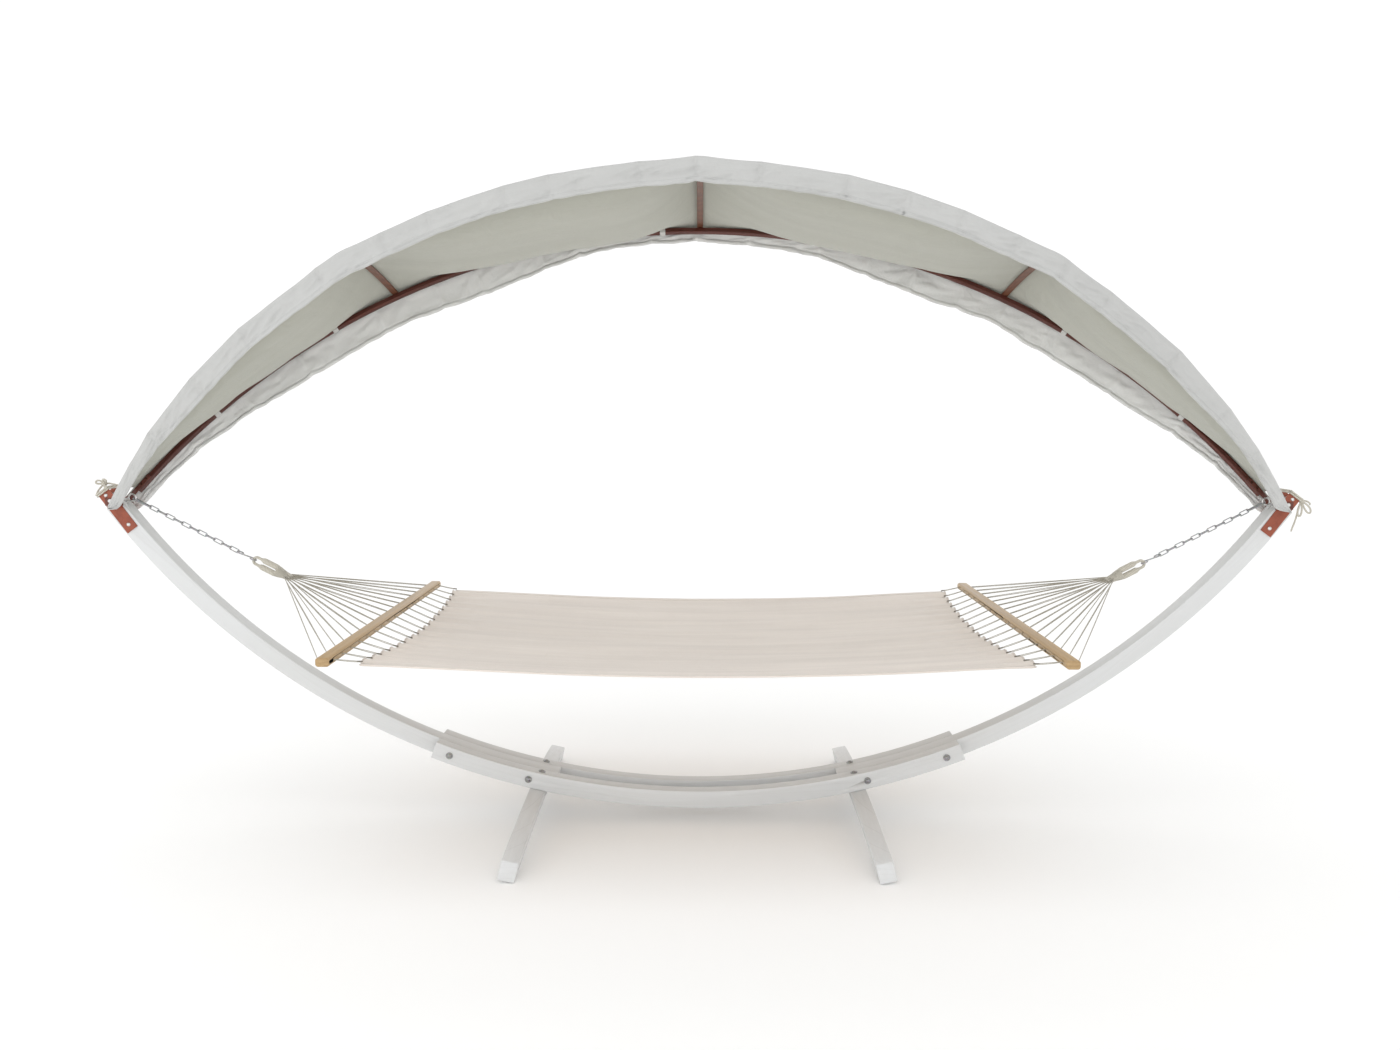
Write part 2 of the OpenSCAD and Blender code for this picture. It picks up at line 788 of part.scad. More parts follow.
// Bed surface
function end_rise(y) = 35 * pow(2 * y / cloth_w, 2);
function cloth_end_x(y) = cloth_l / 2 + cloth_corner * pow(2 * y / cloth_w, 2);
function cloth_height(x, y) =
    let (
        middle = cloth_end_z - cloth_sag + cloth_cup * pow(2 * y / cloth_w, 2),
        share = x / cloth_end_x(y)
    )
    middle + (cloth_end_z + end_rise(y) - middle) * share * share;

// A cord's path on the right: from the band, through the bar, to the cloth's end
function hanger_point(along, y, up) = [
    hang_x - along * cos(hang_pitch) + up * sin(hang_pitch),
    y,
    hang_z - along * sin(hang_pitch) - up * cos(hang_pitch)
];
function cord_path(i) =
    let (
        place = i - (cords - 1) / 2,
        y = place * hole_pitch,
        end_y = y * (cloth_w - 20) / (bar_l - 2 * hole_inset),
        row = (i % cord_rows - (cord_rows - 1) / 2) * cord_row,
        face = bar_w / 2 + cord_bend
    )
    [
        hanger_point(fan_x, place * cord_step, row),
        hanger_point(fan_x + 2 * cord_d, place * cord_step, row),
        [bar_x + face, y, bar_z],
        [bar_x - face, y, bar_z],
        [cloth_end_x(end_y) + cloth_tie_gap, end_y, cloth_height(cloth_end_x(end_y), end_y) + cloth_t / 2]
    ];

function unit(v) = v / norm(v);
function ring(centre, along, radius, sides) =
    let (across = unit(cross(along, [0, 0, 1])), up = cross(across, along))
    [for (i = [0:sides - 1]) centre + radius * (cos(360 * i / sides) * across + sin(360 * i / sides) * up)];

// A closed tube along a few points
module tube(path, diameter, sides) {
    last = len(path) - 1;
    heading = [for (i = [0:last])
        unit(unit(path[min(i + 1, last)] - path[min(i, last - 1)])
            + unit(path[max(i, 1)] - path[max(i - 1, 0)]))];
    points = [for (i = [0:last]) for (p = ring(path[i], heading[i], diameter / 2, sides)) p];
    walls = [
        for (i = [0:last - 1])
            for (j = [0:sides - 1])
                let (a = i * sides + j, b = i * sides + (j + 1) % sides, c = a + sides, d = b + sides)
                for (face = [[a, b, d], [a, d, c]]) face
    ];
    polyhedron(points, concat(walls,
        [[for (j = [sides - 1:-1:0]) j]],
        [[for (j = [0:sides - 1]) last * sides + j]]));
}

module clew_cords(side) {
    color("antiquewhite")
        mirror([side < 0 ? 1 : 0, 0, 0])
            for (i = [0:cords - 1])
                tube(cord_path(i), cord_d, 8);
}

module spreader_bar(side) {
    edge = bar_t * 0.32;
    color("burlywood")
        translate([side * bar_x, 0, bar_z])
            difference() {
                rotate([90, 0, 0])
                    linear_extrude(bar_l, center = true) {
                        square([bar_w - 2 * edge, bar_t], center = true);
                        square([bar_w, bar_t - 2 * edge], center = true);
                        for (x = [-1, 1])
                            for (z = [-1, 1])
                                translate([x * (bar_w / 2 - edge), z * (bar_t / 2 - edge)])
                                    circle(edge);
                    }
                for (i = [0:cords - 1])
                    translate([0, (i - (cords - 1) / 2) * hole_pitch, 0])
                        rotate([0, 90, 0])
                            cylinder(d = hole_d, h = bar_w + 10, center = true);
            }
}

module rail_front() {
    color("whitesmoke")
        rail(-rail_y);
}

module rail_back() {
    color("whitesmoke")
        rail(rail_y);
}

module arm_left() {
    color("white")
        arm(-1);
}

module arm_right() {
    color("white")
        arm(1);
}

module foot_left() {
    color("gainsboro")
        foot(-1);
}

module foot_right() {
    color("gainsboro")
        foot(1);
}

module frame_bolts() {
    color("silver")
        at_frame_bolts()
            translate([0, -side_y - washer_t, 0])
                rotate([-90, 0, 0])
                    bolt(bolt_d, 2 * (side_y + washer_t) + nut_h + 3, head_d, head_h);
}

module frame_washers() {
    color("lightgray")
        at_frame_bolts()
            for (hand = [-1, 1])
                translate([0, hand * side_y, 0])
                    rotate([-hand * 90, 0, 0])
                        washer();
}

module frame_nuts() {
    color("silver")
        at_frame_bolts()
            translate([0, side_y + washer_t, 0])
                rotate([-90, 0, 0])
                    nut(bolt_d, nut_h);
}

module foot_bolts() {
    color("silver")
        at_foot_bolts()
            translate([0, 0, washer_lift + washer_t])
                rotate([180, 0, 0])
                    bolt(bolt_d, timber_h + foot_h + 2 * washer_t + nut_h + 4, head_d, head_h);
}

module foot_washers() {
    color("lightgray")
        at_foot_bolts() {
            translate([0, 0, washer_lift])
                washer();
            translate([0, 0, -timber_h - foot_h - seat_gap - washer_t])
                washer();
        }
}

module foot_nuts() {
    color("silver")
        at_foot_bolts()
            translate([0, 0, -timber_h - foot_h - seat_gap - washer_t - nut_h])
                nut(bolt_d, nut_h);
}

// A steel plate on one side of an arm's tip
module tip_plate(end, side) {
    color("sienna")
        at_tip(end)
            difference() {
                translate([plate_over - plate_l, side > 0 ? plate_y : -plate_outer_y, -plate_w / 2])
                    cube([plate_l, plate_t, plate_w]);
                for (x = [lower_bolt_x, bow_bolt_out, upper_bolt_x])
                    translate([x, 0, 0])
                        along_y(tip_bolt_d + 2 * bolt_play, 3 * plate_outer_y);
            }
}

module plate_left_front() {
    tip_plate(-1, -1);
}

module plate_left_back() {
    tip_plate(-1, 1);
}

module plate_right_front() {
    tip_plate(1, -1);
}

module plate_right_back() {
    tip_plate(1, 1);
}

// Half the grip of each tip bolt: the canopy bolt also holds the straps
function tip_grip(x) = x == bow_bolt_out ? strap_outer_y : plate_outer_y;

module tip_bolts() {
    color("gainsboro")
        for (end = [-1, 1])
            at_tip(end)
                for (x = [lower_bolt_x, bow_bolt_out, upper_bolt_x])
                    translate([x, -tip_grip(x), 0])
                        rotate([-90, 0, 0])
                            bolt(tip_bolt_d, 2 * tip_grip(x) + tip_bolt_d + 2, tip_head_d, tip_head_h);
}

module tip_nuts() {
    color("silver")
        for (end = [-1, 1])
            at_tip(end)
                for (x = [lower_bolt_x, bow_bolt_out, upper_bolt_x])
                    translate([x, tip_grip(x), 0])
                        rotate([-90, 0, 0])
                            nut(tip_bolt_d, tip_bolt_d * 0.8);
}

module tip_spacers() {
    color("silver")
        for (end = [-1, 1])
            at_tip(end)
                for (x = [bow_bolt_out, upper_bolt_x])
                    translate([x, 0, 0])
                        difference() {
                            along_y(spacer_d, 2 * plate_y);
                            along_y(tip_bolt_d + 2 * bolt_play, 3 * plate_y);
                        }
}

module eye_bolt_left() {
    color("silver")
        eye_bolt(-1);
}

module eye_bolt_right() {
    color("silver")
        eye_bolt(1);
}

module eye_nuts() {
    color("silver")
        for (end = [-1, 1])
            at_tip(end)
                translate([-eye_inset, 0, -timber_h / 2 - tip_bolt_d * 0.8])
                    nut(eye_wire, tip_bolt_d * 0.8);
}

module canopy_bow_front() {
    color("saddlebrown")
        bow(-1);
}

module canopy_bow_back() {
    color("saddlebrown")
        bow(1);
}

module bow_straps() {
    color("sienna")
        for (end = [-1, 1])
            for (side = [-1, 1])
                strap(end, side);
}

module bow_screws() {
    color("silver")
        canopy_frame()
            for (side = [-1, 1])
                for (end = [-1, 1])
                    at_strap_screws(side, end)
                        bolt(screw_d, strap_t + screw_bite - 2, screw_head_d, screw_head_h);
}

module crossbar_left() {
    color("saddlebrown")
        crossbar(-crossbar_angle);
}

module crossbar_centre() {
    color("saddlebrown")
        crossbar(0);
}

module crossbar_right() {
    color("saddlebrown")
        crossbar(crossbar_angle);
}

// Countersunk screws: their heads lie flush in the crossbars
module crossbar_screws() {
    color("silver")
        canopy_frame()
            for (angle = [-crossbar_angle, 0, crossbar_angle])
                for (side = [-1, 1])
                    at_bow_top(side, angle)
                        translate([0, 0, 2 - screw_bite])
                            cylinder(d = screw_d, h = screw_bite + crossbar_t - 3);
}

module canopy_roof() {
    up = fabric_t * [0, 0, 1];
    lower = [for (s = roof_stations) roof_line(s[0], s[1])];
    upper = [for (i = [0:len(lower) - 1])
        [for (p = lower[i]) p + fabric_t * [sin(roof_stations[i][0]), 0, cos(roof_stations[i][0])]]];
    color("ivory")
        canopy_frame()
            slab(upper, lower);
}

module canopy_valance_front() {
    color("white")
        valance(-1);
}

module canopy_valance_back() {
    color("white")
        valance(1);
}

module canopy_loops() {
    color("ivory")
        canopy_frame()
            for (side = [-1, 1])
                for (x = tab_places)
                    tab(side, asin(x / bow_r));
}

module canopy_tie_left() {
    color("cornsilk")
        canopy_tie(-1);
}

module canopy_tie_right() {
    color("cornsilk")
        canopy_tie(1);
}

module snap_hook_left() {
    snap_hook(-1);
}

module snap_hook_right() {
    snap_hook(1);
}

module chain_left() {
    chain(-1);
}

module chain_right() {
    chain(1);
}

module s_hook_left() {
    s_hook(-1);
}

module s_hook_right() {
    s_hook(1);
}

module clew_loop_left() {
    clew_loop(-1);
}

module clew_loop_right() {
    clew_loop(1);
}

module clew_band_left() {
    clew_band(-1);
}

module clew_band_right() {
    clew_band(1);
}

module clew_cords_left() {
    clew_cords(-1);
}

module clew_cords_right() {
    clew_cords(1);
}

module spreader_bar_left() {
    spreader_bar(-1);
}

module spreader_bar_right() {
    spreader_bar(1);
}

module bed_cloth() {
    lower = [
        for (i = [0:cloth_cols]) [
            for (j = [0:cloth_rows])
                let (
                    y = cloth_w * (j / cloth_rows - 0.5),
                    x = cloth_end_x(y) * (2 * i / cloth_cols - 1)
                )
                [x, y, cloth_height(x, y)]
        ]
    ];
    upper = [for (row = lower) [for (p = row) p + [0, 0, cloth_t]]];
    color("linen")
        slab(upper, lower);
}

rail_front();
rail_back();
arm_left();
arm_right();
foot_left();
foot_right();
frame_bolts();
frame_washers();
frame_nuts();
foot_bolts();
foot_washers();
foot_nuts();
plate_left_front();
plate_left_back();
plate_right_front();
plate_right_back();
tip_bolts();
tip_nuts();
tip_spacers();
eye_bolt_left();
eye_bolt_right();
eye_nuts();
canopy_bow_front();
canopy_bow_back();
bow_straps();
bow_screws();
crossbar_left();
crossbar_centre();
crossbar_right();
crossbar_screws();
canopy_roof();
canopy_valance_front();
canopy_valance_back();
canopy_loops();
canopy_tie_left();
canopy_tie_right();
snap_hook_left();
snap_hook_right();
chain_left();
chain_right();
s_hook_left();
s_hook_right();
clew_loop_left();
clew_loop_right();
clew_band_left();
clew_band_right();
clew_cords_left();
clew_cords_right();
spreader_bar_left();
spreader_bar_right();
bed_cloth();
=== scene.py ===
import json
from math import atan2, copysign, cos, degrees, exp, hypot, pi, radians, sin, sqrt, tan

import bpy
from mathutils import Matrix, Vector, noise


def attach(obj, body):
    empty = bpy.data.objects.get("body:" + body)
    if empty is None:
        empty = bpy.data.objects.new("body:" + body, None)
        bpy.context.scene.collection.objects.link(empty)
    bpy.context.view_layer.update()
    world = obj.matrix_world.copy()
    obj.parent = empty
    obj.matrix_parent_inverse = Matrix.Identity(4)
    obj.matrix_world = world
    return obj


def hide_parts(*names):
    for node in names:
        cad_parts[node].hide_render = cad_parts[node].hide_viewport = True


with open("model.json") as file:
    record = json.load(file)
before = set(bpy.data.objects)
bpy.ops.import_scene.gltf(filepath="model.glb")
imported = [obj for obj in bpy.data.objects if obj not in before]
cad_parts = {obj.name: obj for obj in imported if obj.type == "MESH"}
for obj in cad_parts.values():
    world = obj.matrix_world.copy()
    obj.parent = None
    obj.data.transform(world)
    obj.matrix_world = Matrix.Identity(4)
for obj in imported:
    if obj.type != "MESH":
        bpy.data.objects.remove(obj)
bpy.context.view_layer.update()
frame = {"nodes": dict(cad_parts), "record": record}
bodyOf = {node: body for body, nodes in frame["record"]["behaviour"]["bodies"].items() for node in nodes}
print("frame loaded")

# camera, floor and lights
cameraPlace = {
    "at": (0.0083, -3.8801, 1.427), "lens": 29.571, "sensor": 36,
    "yaw": -0.0011, "pitch": 0.1074, "roll": 0.0034,
}
studio = {
    "floorSize": 90.0, "floorColour": (0.985, 0.985, 0.98), "floorRoughness": 0.9,
    "sky": (1.0, 1.0, 1.0), "skyStrength": 1.06, "tone": "Standard",
    "lamps": [
        {"name": "keyLamp", "at": (-3.6, -4.6, 1.7), "aim": (0, 0, 1.0), "size": 2.4, "power": 12},
        {"name": "sideLamp", "at": (-5.6, -1.8, 1.0), "aim": (1.4, 0.2, 1.3), "size": 2.0, "power": 9},
        {"name": "fillLamp", "at": (0.2, -6.0, 0.6), "aim": (0, 0.3, 1.4), "size": 3.6, "power": 34},
        {"name": "topLamp", "at": (-1.4, -0.6, 5.4), "aim": (0, 0.1, 0.6), "size": 2.0, "power": 6},
    ],
}


def setMode(mode):
    bpy.ops.object.mode_set(mode=mode)


def clearSelection():
    if bpy.context.object and bpy.context.object.mode != "OBJECT":
        setMode("OBJECT")
    bpy.ops.object.select_all(action="DESELECT")


def pickOnly(piece):
    clearSelection()
    piece.select_set(True)
    bpy.context.view_layer.objects.active = piece


def makeStudio():
    clearSelection()
    bpy.ops.object.camera_add()
    camera = bpy.context.object
    camera.name = "mainCamera"
    camera.data.sensor_width = cameraPlace["sensor"]
    camera.data.lens = cameraPlace["lens"]
    camera.matrix_world = (
        Matrix.Translation(cameraPlace["at"])
        @ Matrix.Rotation(-cameraPlace["yaw"], 4, "Z")
        @ Matrix.Rotation(pi / 2 - cameraPlace["pitch"], 4, "X")
        @ Matrix.Rotation(cameraPlace["roll"], 4, "Z")
    )
    bpy.context.scene.camera = camera
    for lamp in studio["lamps"]:
        bpy.ops.object.light_add(type="AREA", location=lamp["at"])
        light = bpy.context.object
        light.name = lamp["name"]
        light.data.size = lamp["size"]
        light.data.energy = lamp["power"]
        aim = Vector(lamp["aim"]) - Vector(lamp["at"])
        light.rotation_euler = aim.to_track_quat("-Z", "Y").to_euler()
    world = bpy.data.worlds.new("studioSky")
    world.use_nodes = True
    sky = world.node_tree.nodes["Background"]
    sky.inputs["Color"].default_value = (*studio["sky"], 1)
    sky.inputs["Strength"].default_value = studio["skyStrength"]
    bpy.context.scene.world = world
    bpy.context.scene.view_settings.view_transform = studio["tone"]
    bpy.ops.mesh.primitive_plane_add(size=studio["floorSize"])
    floor = bpy.context.object
    floor.name = "studioFloor"
    paper = {"Base Color": (*studio["floorColour"], 1), "Roughness": studio["floorRoughness"]}
    floor.data.materials.append(newFinish("floorPaper", paper)[0])


# material helpers
def newFinish(name, values):
    finish = bpy.data.materials.new(name)
    finish.use_nodes = True
    shader = finish.node_tree.nodes["Principled BSDF"]
    for socket, value in values.items():
        shader.inputs[socket].default_value = value
    return finish, finish.node_tree


def addNode(tree, kind, inputs=None, **settings):
    node = tree.nodes.new("ShaderNode" + kind)
    for key, value in settings.items():
        setattr(node, key, value)
    for socket, value in (inputs or {}).items():
        if isinstance(value, bpy.types.NodeSocket):
            tree.links.new(value, node.inputs[socket])
        else:
            node.inputs[socket].default_value = value
    return node


def objectPlace(tree, scale=(1, 1, 1)):
    source = addNode(tree, "TexCoord").outputs["Object"]
    return addNode(tree, "Mapping", {"Vector": source, "Scale": scale}).outputs[0]


def grainPlace(tree, scale=(1, 1, 1)):
    source = addNode(tree, "Attribute", attribute_name="grain").outputs["Vector"]
    return addNode(tree, "Mapping", {"Vector": source, "Scale": scale}).outputs[0]


def clothPlace(tree, scale=(1, 1, 1)):
    source = addNode(tree, "UVMap").outputs[0]
    return addNode(tree, "Mapping", {"Vector": source, "Scale": scale}).outputs[0]


def remap(tree, value, fromBand=(0.0, 1.0), toBand=(0.0, 1.0)):
    return addNode(tree, "MapRange", {
        "Value": value, "From Min": fromBand[0], "From Max": fromBand[1], "To Min": toBand[0], "To Max": toBand[1],
    }).outputs[0]


def speckle(tree, place, detail=4, scale=1.0, rough=0.55, band=(0.3, 0.7)):
    cloud = addNode(tree, "TexNoise", {"Vector": place, "Scale": scale, "Detail": detail, "Roughness": rough})
    return remap(tree, cloud.outputs[0], band)


def maths(tree, operation, first, second=0.0, third=0.0):
    return addNode(tree, "Math", {0: first, 1: second, 2: third}, operation=operation).outputs[0]


def part(tree, value, share):
    return maths(tree, "MULTIPLY", value, share)


def blendTint(tree, share, first, second, mode="MIX"):
    def tint(value):
        return value if isinstance(value, bpy.types.NodeSocket) else (*value, 1)
    return addNode(tree, "Mix", {0: share, 6: tint(first), 7: tint(second)},
                   data_type="RGBA", blend_type=mode).outputs[2]


def layTint(tree, colour, look, name, cover, tint):
    # the share and the strength of the tint laid on come from the finish's own settings
    tint = tuple(look.get(name + "Tint", 1) * value for value in tint)
    return blendTint(tree, part(tree, cover, look[name + "Share"]), colour, tint)


def feedShader(finish, look, colour, rough, height, bump=None):
    tree = finish.node_tree
    shader = tree.nodes["Principled BSDF"]
    tree.links.new(colour, shader.inputs["Base Color"])
    tree.links.new(remap(tree, rough, toBand=look["roughness"]), shader.inputs["Roughness"])
    raised = addNode(tree, "Bump", {
        "Height": height, "Distance": bump or look["bump"], "Strength": look["bumpShare"],
    })
    tree.links.new(raised.outputs[0], shader.inputs["Normal"])
    return finish


# finishes: white paint over laminated timber
paintLook = {
    "shader": {"IOR": 1.47, "Coat Weight": 0.08, "Coat Roughness": 0.25}, "roughness": (0.36, 0.5),
    "light": (0.70, 0.71, 0.715), "dark": (0.62, 0.62, 0.61), "worn": (0.64, 0.635, 0.61),
    "brush": (2.2, 90, 90), "brushShare": 0.35, "patch": (1.6, 5, 5), "patchShare": 0.25,
    "glue": (0.46, 0.46, 0.44), "layer": 0.0145, "glueBand": (0.46, 0.5), "glueShare": 0.22,
    "bump": 0.00035, "bumpShare": 0.8,
}


def paintedTimber():
    look = paintLook
    finish, tree = newFinish("whitePaintedTimber", look["shader"])
    brush = speckle(tree, grainPlace(tree, look["brush"]), detail=5)
    patch = speckle(tree, grainPlace(tree, look["patch"]), detail=3)
    tint = blendTint(tree, part(tree, brush, look["brushShare"]), look["light"], look["dark"])
    tint = layTint(tree, tint, look, "patch", patch, look["worn"])
    across = addNode(tree, "SeparateXYZ", {0: grainPlace(tree)}).outputs[1]
    layer = maths(tree, "FRACT", maths(tree, "DIVIDE", across, look["layer"]))
    glue = remap(tree, maths(tree, "ABSOLUTE", maths(tree, "SUBTRACT", layer, 0.5)), look["glueBand"])
    tint = layTint(tree, tint, look, "glue", glue, look["glue"])
    height = maths(tree, "SUBTRACT", part(tree, brush, look["brushShare"]), glue)
    return feedShader(finish, look, tint, brush, height)


# stain or varnish over bare timber
stainLook = {
    "shader": {"IOR": 1.48, "Coat Roughness": 0.22}, "roughness": (0.34, 0.52),
    "fibre": (3, 110, 110), "fibreShare": 0.5, "rings": (0.5, 26, 26), "ringBend": 5.5, "ringShare": 0.4,
    "wander": (1.2, 14, 14), "wanderShare": 0.3, "wanderTint": 0.8,
    "pores": (14, 700, 700), "poreBand": (0.62, 0.7), "poreShare": 0.35, "poreTint": 0.45,
    "bump": 0.0003, "bumpShare": 0.6,
}


def stainedTimber(name, deep, warm, coat=0.15):
    look = stainLook
    finish, tree = newFinish(name, {**look["shader"], "Coat Weight": coat})
    fibre = speckle(tree, grainPlace(tree, look["fibre"]), detail=6, rough=0.65)
    wander = speckle(tree, grainPlace(tree, look["wander"]), detail=2)
    rings = addNode(tree, "TexWave", {
        "Vector": grainPlace(tree, look["rings"]), "Scale": 1.0, "Distortion": look["ringBend"],
        "Detail": 3, "Detail Scale": 1.4,
    }, bands_direction="Y").outputs[1]
    share = maths(tree, "ADD", part(tree, fibre, look["fibreShare"]), part(tree, rings, look["ringShare"]))
    tint = blendTint(tree, share, deep, warm)
    tint = layTint(tree, tint, look, "wander", wander, deep)
    pores = speckle(tree, grainPlace(tree, look["pores"]), detail=2, band=look["poreBand"])
    tint = layTint(tree, tint, look, "pore", pores, deep)
    return feedShader(finish, look, tint, fibre, maths(tree, "SUBTRACT", fibre, pores))


# enamel on the tip plates and bow straps
plateLook = {
    "shader": {"IOR": 1.5, "Coat Weight": 0.12, "Coat Roughness": 0.3}, "roughness": (0.42, 0.55),
    "peel": 900, "cloud": 38, "scuff": 240, "scuffLong": (1, 1, 3), "scuffBand": (0.66, 0.72),
    "scuffShare": 0.4, "scuffTint": 1.5, "bump": 0.0002, "bumpShare": 0.5,
}


def platePaint(name, deep, warm):
    look = plateLook
    finish, tree = newFinish(name, look["shader"])
    peel = speckle(tree, objectPlace(tree), detail=2, scale=look["peel"])
    cloud = speckle(tree, objectPlace(tree), scale=look["cloud"])
    scuff = speckle(tree, objectPlace(tree, look["scuffLong"]), detail=3, scale=look["scuff"],
                    band=look["scuffBand"])
    tint = blendTint(tree, cloud, deep, warm)
    tint = layTint(tree, tint, look, "scuff", scuff, warm)
    return feedShader(finish, look, tint, cloud, peel)


# zinc and bare steel
steelLook = {"spangle": 420.0, "spangleShare": 0.12, "cloud": 160, "bump": 0.00008, "bumpShare": 0.5}


def plainSteel(name, bright, dull, roughness):
    look = {**steelLook, "roughness": roughness}
    finish, tree = newFinish(name, {"Metallic": 1.0})
    spangle = addNode(tree, "TexVoronoi", {"Vector": objectPlace(tree), "Scale": look["spangle"]})
    cloud = speckle(tree, objectPlace(tree), detail=5, scale=look["cloud"])
    tint = blendTint(tree, cloud, dull, bright)
    tint = blendTint(tree, look["spangleShare"], tint, spangle.outputs["Color"], "OVERLAY")
    return feedShader(finish, look, tint, cloud, cloud)


# woven cloth, with its two rows of stitches and its creases
clothLook = {
    "shader": {"IOR": 1.4, "Sheen Weight": 0.25, "Sheen Roughness": 0.5}, "roughness": (0.78, 0.92),
    "waveLength": 0.3142, "waveBend": 0.4, "weaveHeight": 0.12,
    "slub": (4, 420, 1), "slubShare": 0.4, "cloud": (1.4, 1.9, 1), "cloudShare": 0.45,
    "streak": (1.1, 13, 1), "streakShare": 0.5, "streakTint": 0.9,
    "creaseHeight": 1.3, "crumple": (15, 12, 12), "crumpleHeight": 6.0,
    "stitch": 0.004, "stitchHalf": 0.0009, "stitchPart": 0.68, "stitchShare": 0.5, "stitchTint": 0.55,
    "seamReach": 0.004, "seamDip": 0.7, "bump": 0.0016, "bumpShare": 0.75,
}


def wovenCloth(name, tint, shade, inner, pitch, seam=None, fold=(3.5, 16), crumple=0.4, paintedOuterShade=1.0,
               place=clothPlace):
    look = clothLook
    finish, tree = newFinish(name, look["shader"])
    height = 0.0
    for direction in ("X", "Y"):
        weave = addNode(tree, "TexWave", {
            "Vector": place(tree), "Scale": look["waveLength"] / pitch, "Distortion": look["waveBend"],
        }, bands_direction=direction).outputs[1]
        height = maths(tree, "ADD", part(tree, weave, look["weaveHeight"]), height)
    slub = speckle(tree, place(tree, look["slub"]))
    colour = layTint(tree, tint, look, "slub", slub, shade)
    cloud = speckle(tree, place(tree, look["cloud"]), detail=3)
    colour = layTint(tree, colour, look, "cloud", cloud, shade)
    streak = speckle(tree, place(tree, look["streak"]))
    colour = layTint(tree, colour, look, "streak", streak, shade)
    # "inside" is 0 on the outer face, 0.5 on the back of a hanging edge and 1 on an underside
    inside = addNode(tree, "Attribute", attribute_name="inside").outputs["Fac"]
    # painted shade and light: the outer face is dimmed, so the back of a hanging edge, which keeps the full tint,
    # shows as painted light coming through the cloth
    outer = maths(tree, "MULTIPLY_ADD", inside, -2.0, 1.0)
    colour = blendTint(tree, outer, colour, blendTint(tree, 1.0, colour, (paintedOuterShade, paintedOuterShade, paintedOuterShade), "MULTIPLY"))
    # painted shade: an underside is multiplied by the inner tint
    under = maths(tree, "MULTIPLY_ADD", inside, 2.0, -1.0)
    colour = blendTint(tree, under, colour, blendTint(tree, 1.0, colour, inner, "MULTIPLY"))
    crease = speckle(tree, place(tree, (*fold, 1)), detail=5, rough=0.6)
    height = maths(tree, "ADD", height, part(tree, crease, look["creaseHeight"]))
    patch = addNode(tree, "TexNoise", {
        "Vector": place(tree, look["crumple"]), "Scale": 1.0, "Detail": 4.0, "Roughness": 0.5, "Distortion": 0.6,
    }).outputs[0]
    ridge = maths(tree, "ABSOLUTE", maths(tree, "MULTIPLY_ADD", patch, 2.0, -1.0))
    height = maths(tree, "SUBTRACT", height, part(tree, ridge, look["crumpleHeight"] * crumple))
    for row in (seam, -seam) if seam else ():
        split = addNode(tree, "SeparateXYZ", {0: place(tree)})
        away = maths(tree, "ABSOLUTE", maths(tree, "SUBTRACT", split.outputs[1], row))
        thread = maths(tree, "LESS_THAN", away, look["stitchHalf"])
        along = maths(tree, "FRACT", maths(tree, "DIVIDE", split.outputs[0], look["stitch"]))
        stitch = maths(tree, "MULTIPLY", thread, maths(tree, "LESS_THAN", along, look["stitchPart"]))
        colour = layTint(tree, colour, look, "stitch", stitch, shade)
        dip = remap(tree, away, (0.0, look["seamReach"]), (1.0, 0.0))
        height = maths(tree, "SUBTRACT", height, part(tree, dip, look["seamDip"]))
    return feedShader(finish, look, colour, slub, height)


# laid cord: u runs along it in metres, v once round it
cordLook = {
    "shader": {"IOR": 1.4, "Sheen Weight": 0.3, "Sheen Roughness": 0.5}, "roughness": (0.8, 0.95),
    "strands": 3, "fuzz": 1500, "fuzzHeight": 0.3, "cloud": 24, "cloudShare": 0.35,
    "bump": 0.12, "bumpShare": 0.9,
}


def laidCord(name, tint, shade, pitch, girth):
    look = cordLook
    finish, tree = newFinish(name, look["shader"])
    split = addNode(tree, "SeparateXYZ", {0: clothPlace(tree)})
    turn = maths(tree, "ADD", maths(tree, "DIVIDE", split.outputs[0], pitch), split.outputs[1])
    strand = maths(tree, "ABSOLUTE", maths(tree, "SINE", part(tree, turn, look["strands"] * pi)))
    fuzz = speckle(tree, objectPlace(tree), detail=3, scale=look["fuzz"])
    cloud = speckle(tree, objectPlace(tree), detail=3, scale=look["cloud"])
    # painted shade: the grooves between the strands take the darker tint, the crowns the lighter one
    colour = blendTint(tree, strand, shade, tint)
    colour = layTint(tree, colour, look, "cloud", cloud, shade)
    height = maths(tree, "ADD", strand, part(tree, fuzz, look["fuzzHeight"]))
    return feedShader(finish, look, colour, fuzz, height, bump=girth * look["bump"])


# canopy: angles run along the bows from the middle, side -1 is the front bow and 1 the back bow
sunroof = {
    "bowRadius": 2.29998, "bowDrop": 1.21998, "bowY": 0.04624, "bowDepth": 0.018, "bowWidth": 0.020,
    "splay": radians(19.7), "lean": radians(5.6), "base": 1.08665,
    "crossbar": radians(28.7332), "roofEnd": radians(56.4192),
    "tipEnd": radians(57.5), "edgeEnd": radians(58.6655),
    "sags": ((0.165, 1, 3), (0.165, 1.2, 4), (0.155, 1.05, 3), (0.165, 1, 3)),  # depth, skew, squareness
    "overBar": 0.019, "lift": 0.010, "flat": 0.014, "ease": 0.180, "gap": 0.001, "cloth": 0.0015,
    "overBow": 0.0014, "besideBow": 0.007, "tension": 0.02, "crumple": 0.003, "thickness": 0.0012,
    "columns": 460, "edgeRows": 16, "bowRows": 4, "roofRows": 52,
    "fineSteps": 6000, "foldCrowd": 5, "foldReach": 0.012,
    "folds": (-58.7, -51, -45, -39, -31, -25.2, -21.2, -15, -11.5, -4.6, -0.3, 4.6, 11.3, 16, 20.5, 25.2, 29.5,
              33.8, 41.4, 48, 52.6, 58.7),  # degrees
}
bowRadius, bowDrop, bowWidth, splay, lean = (
    sunroof[name] for name in ("bowRadius", "bowDrop", "bowWidth", "splay", "lean"))


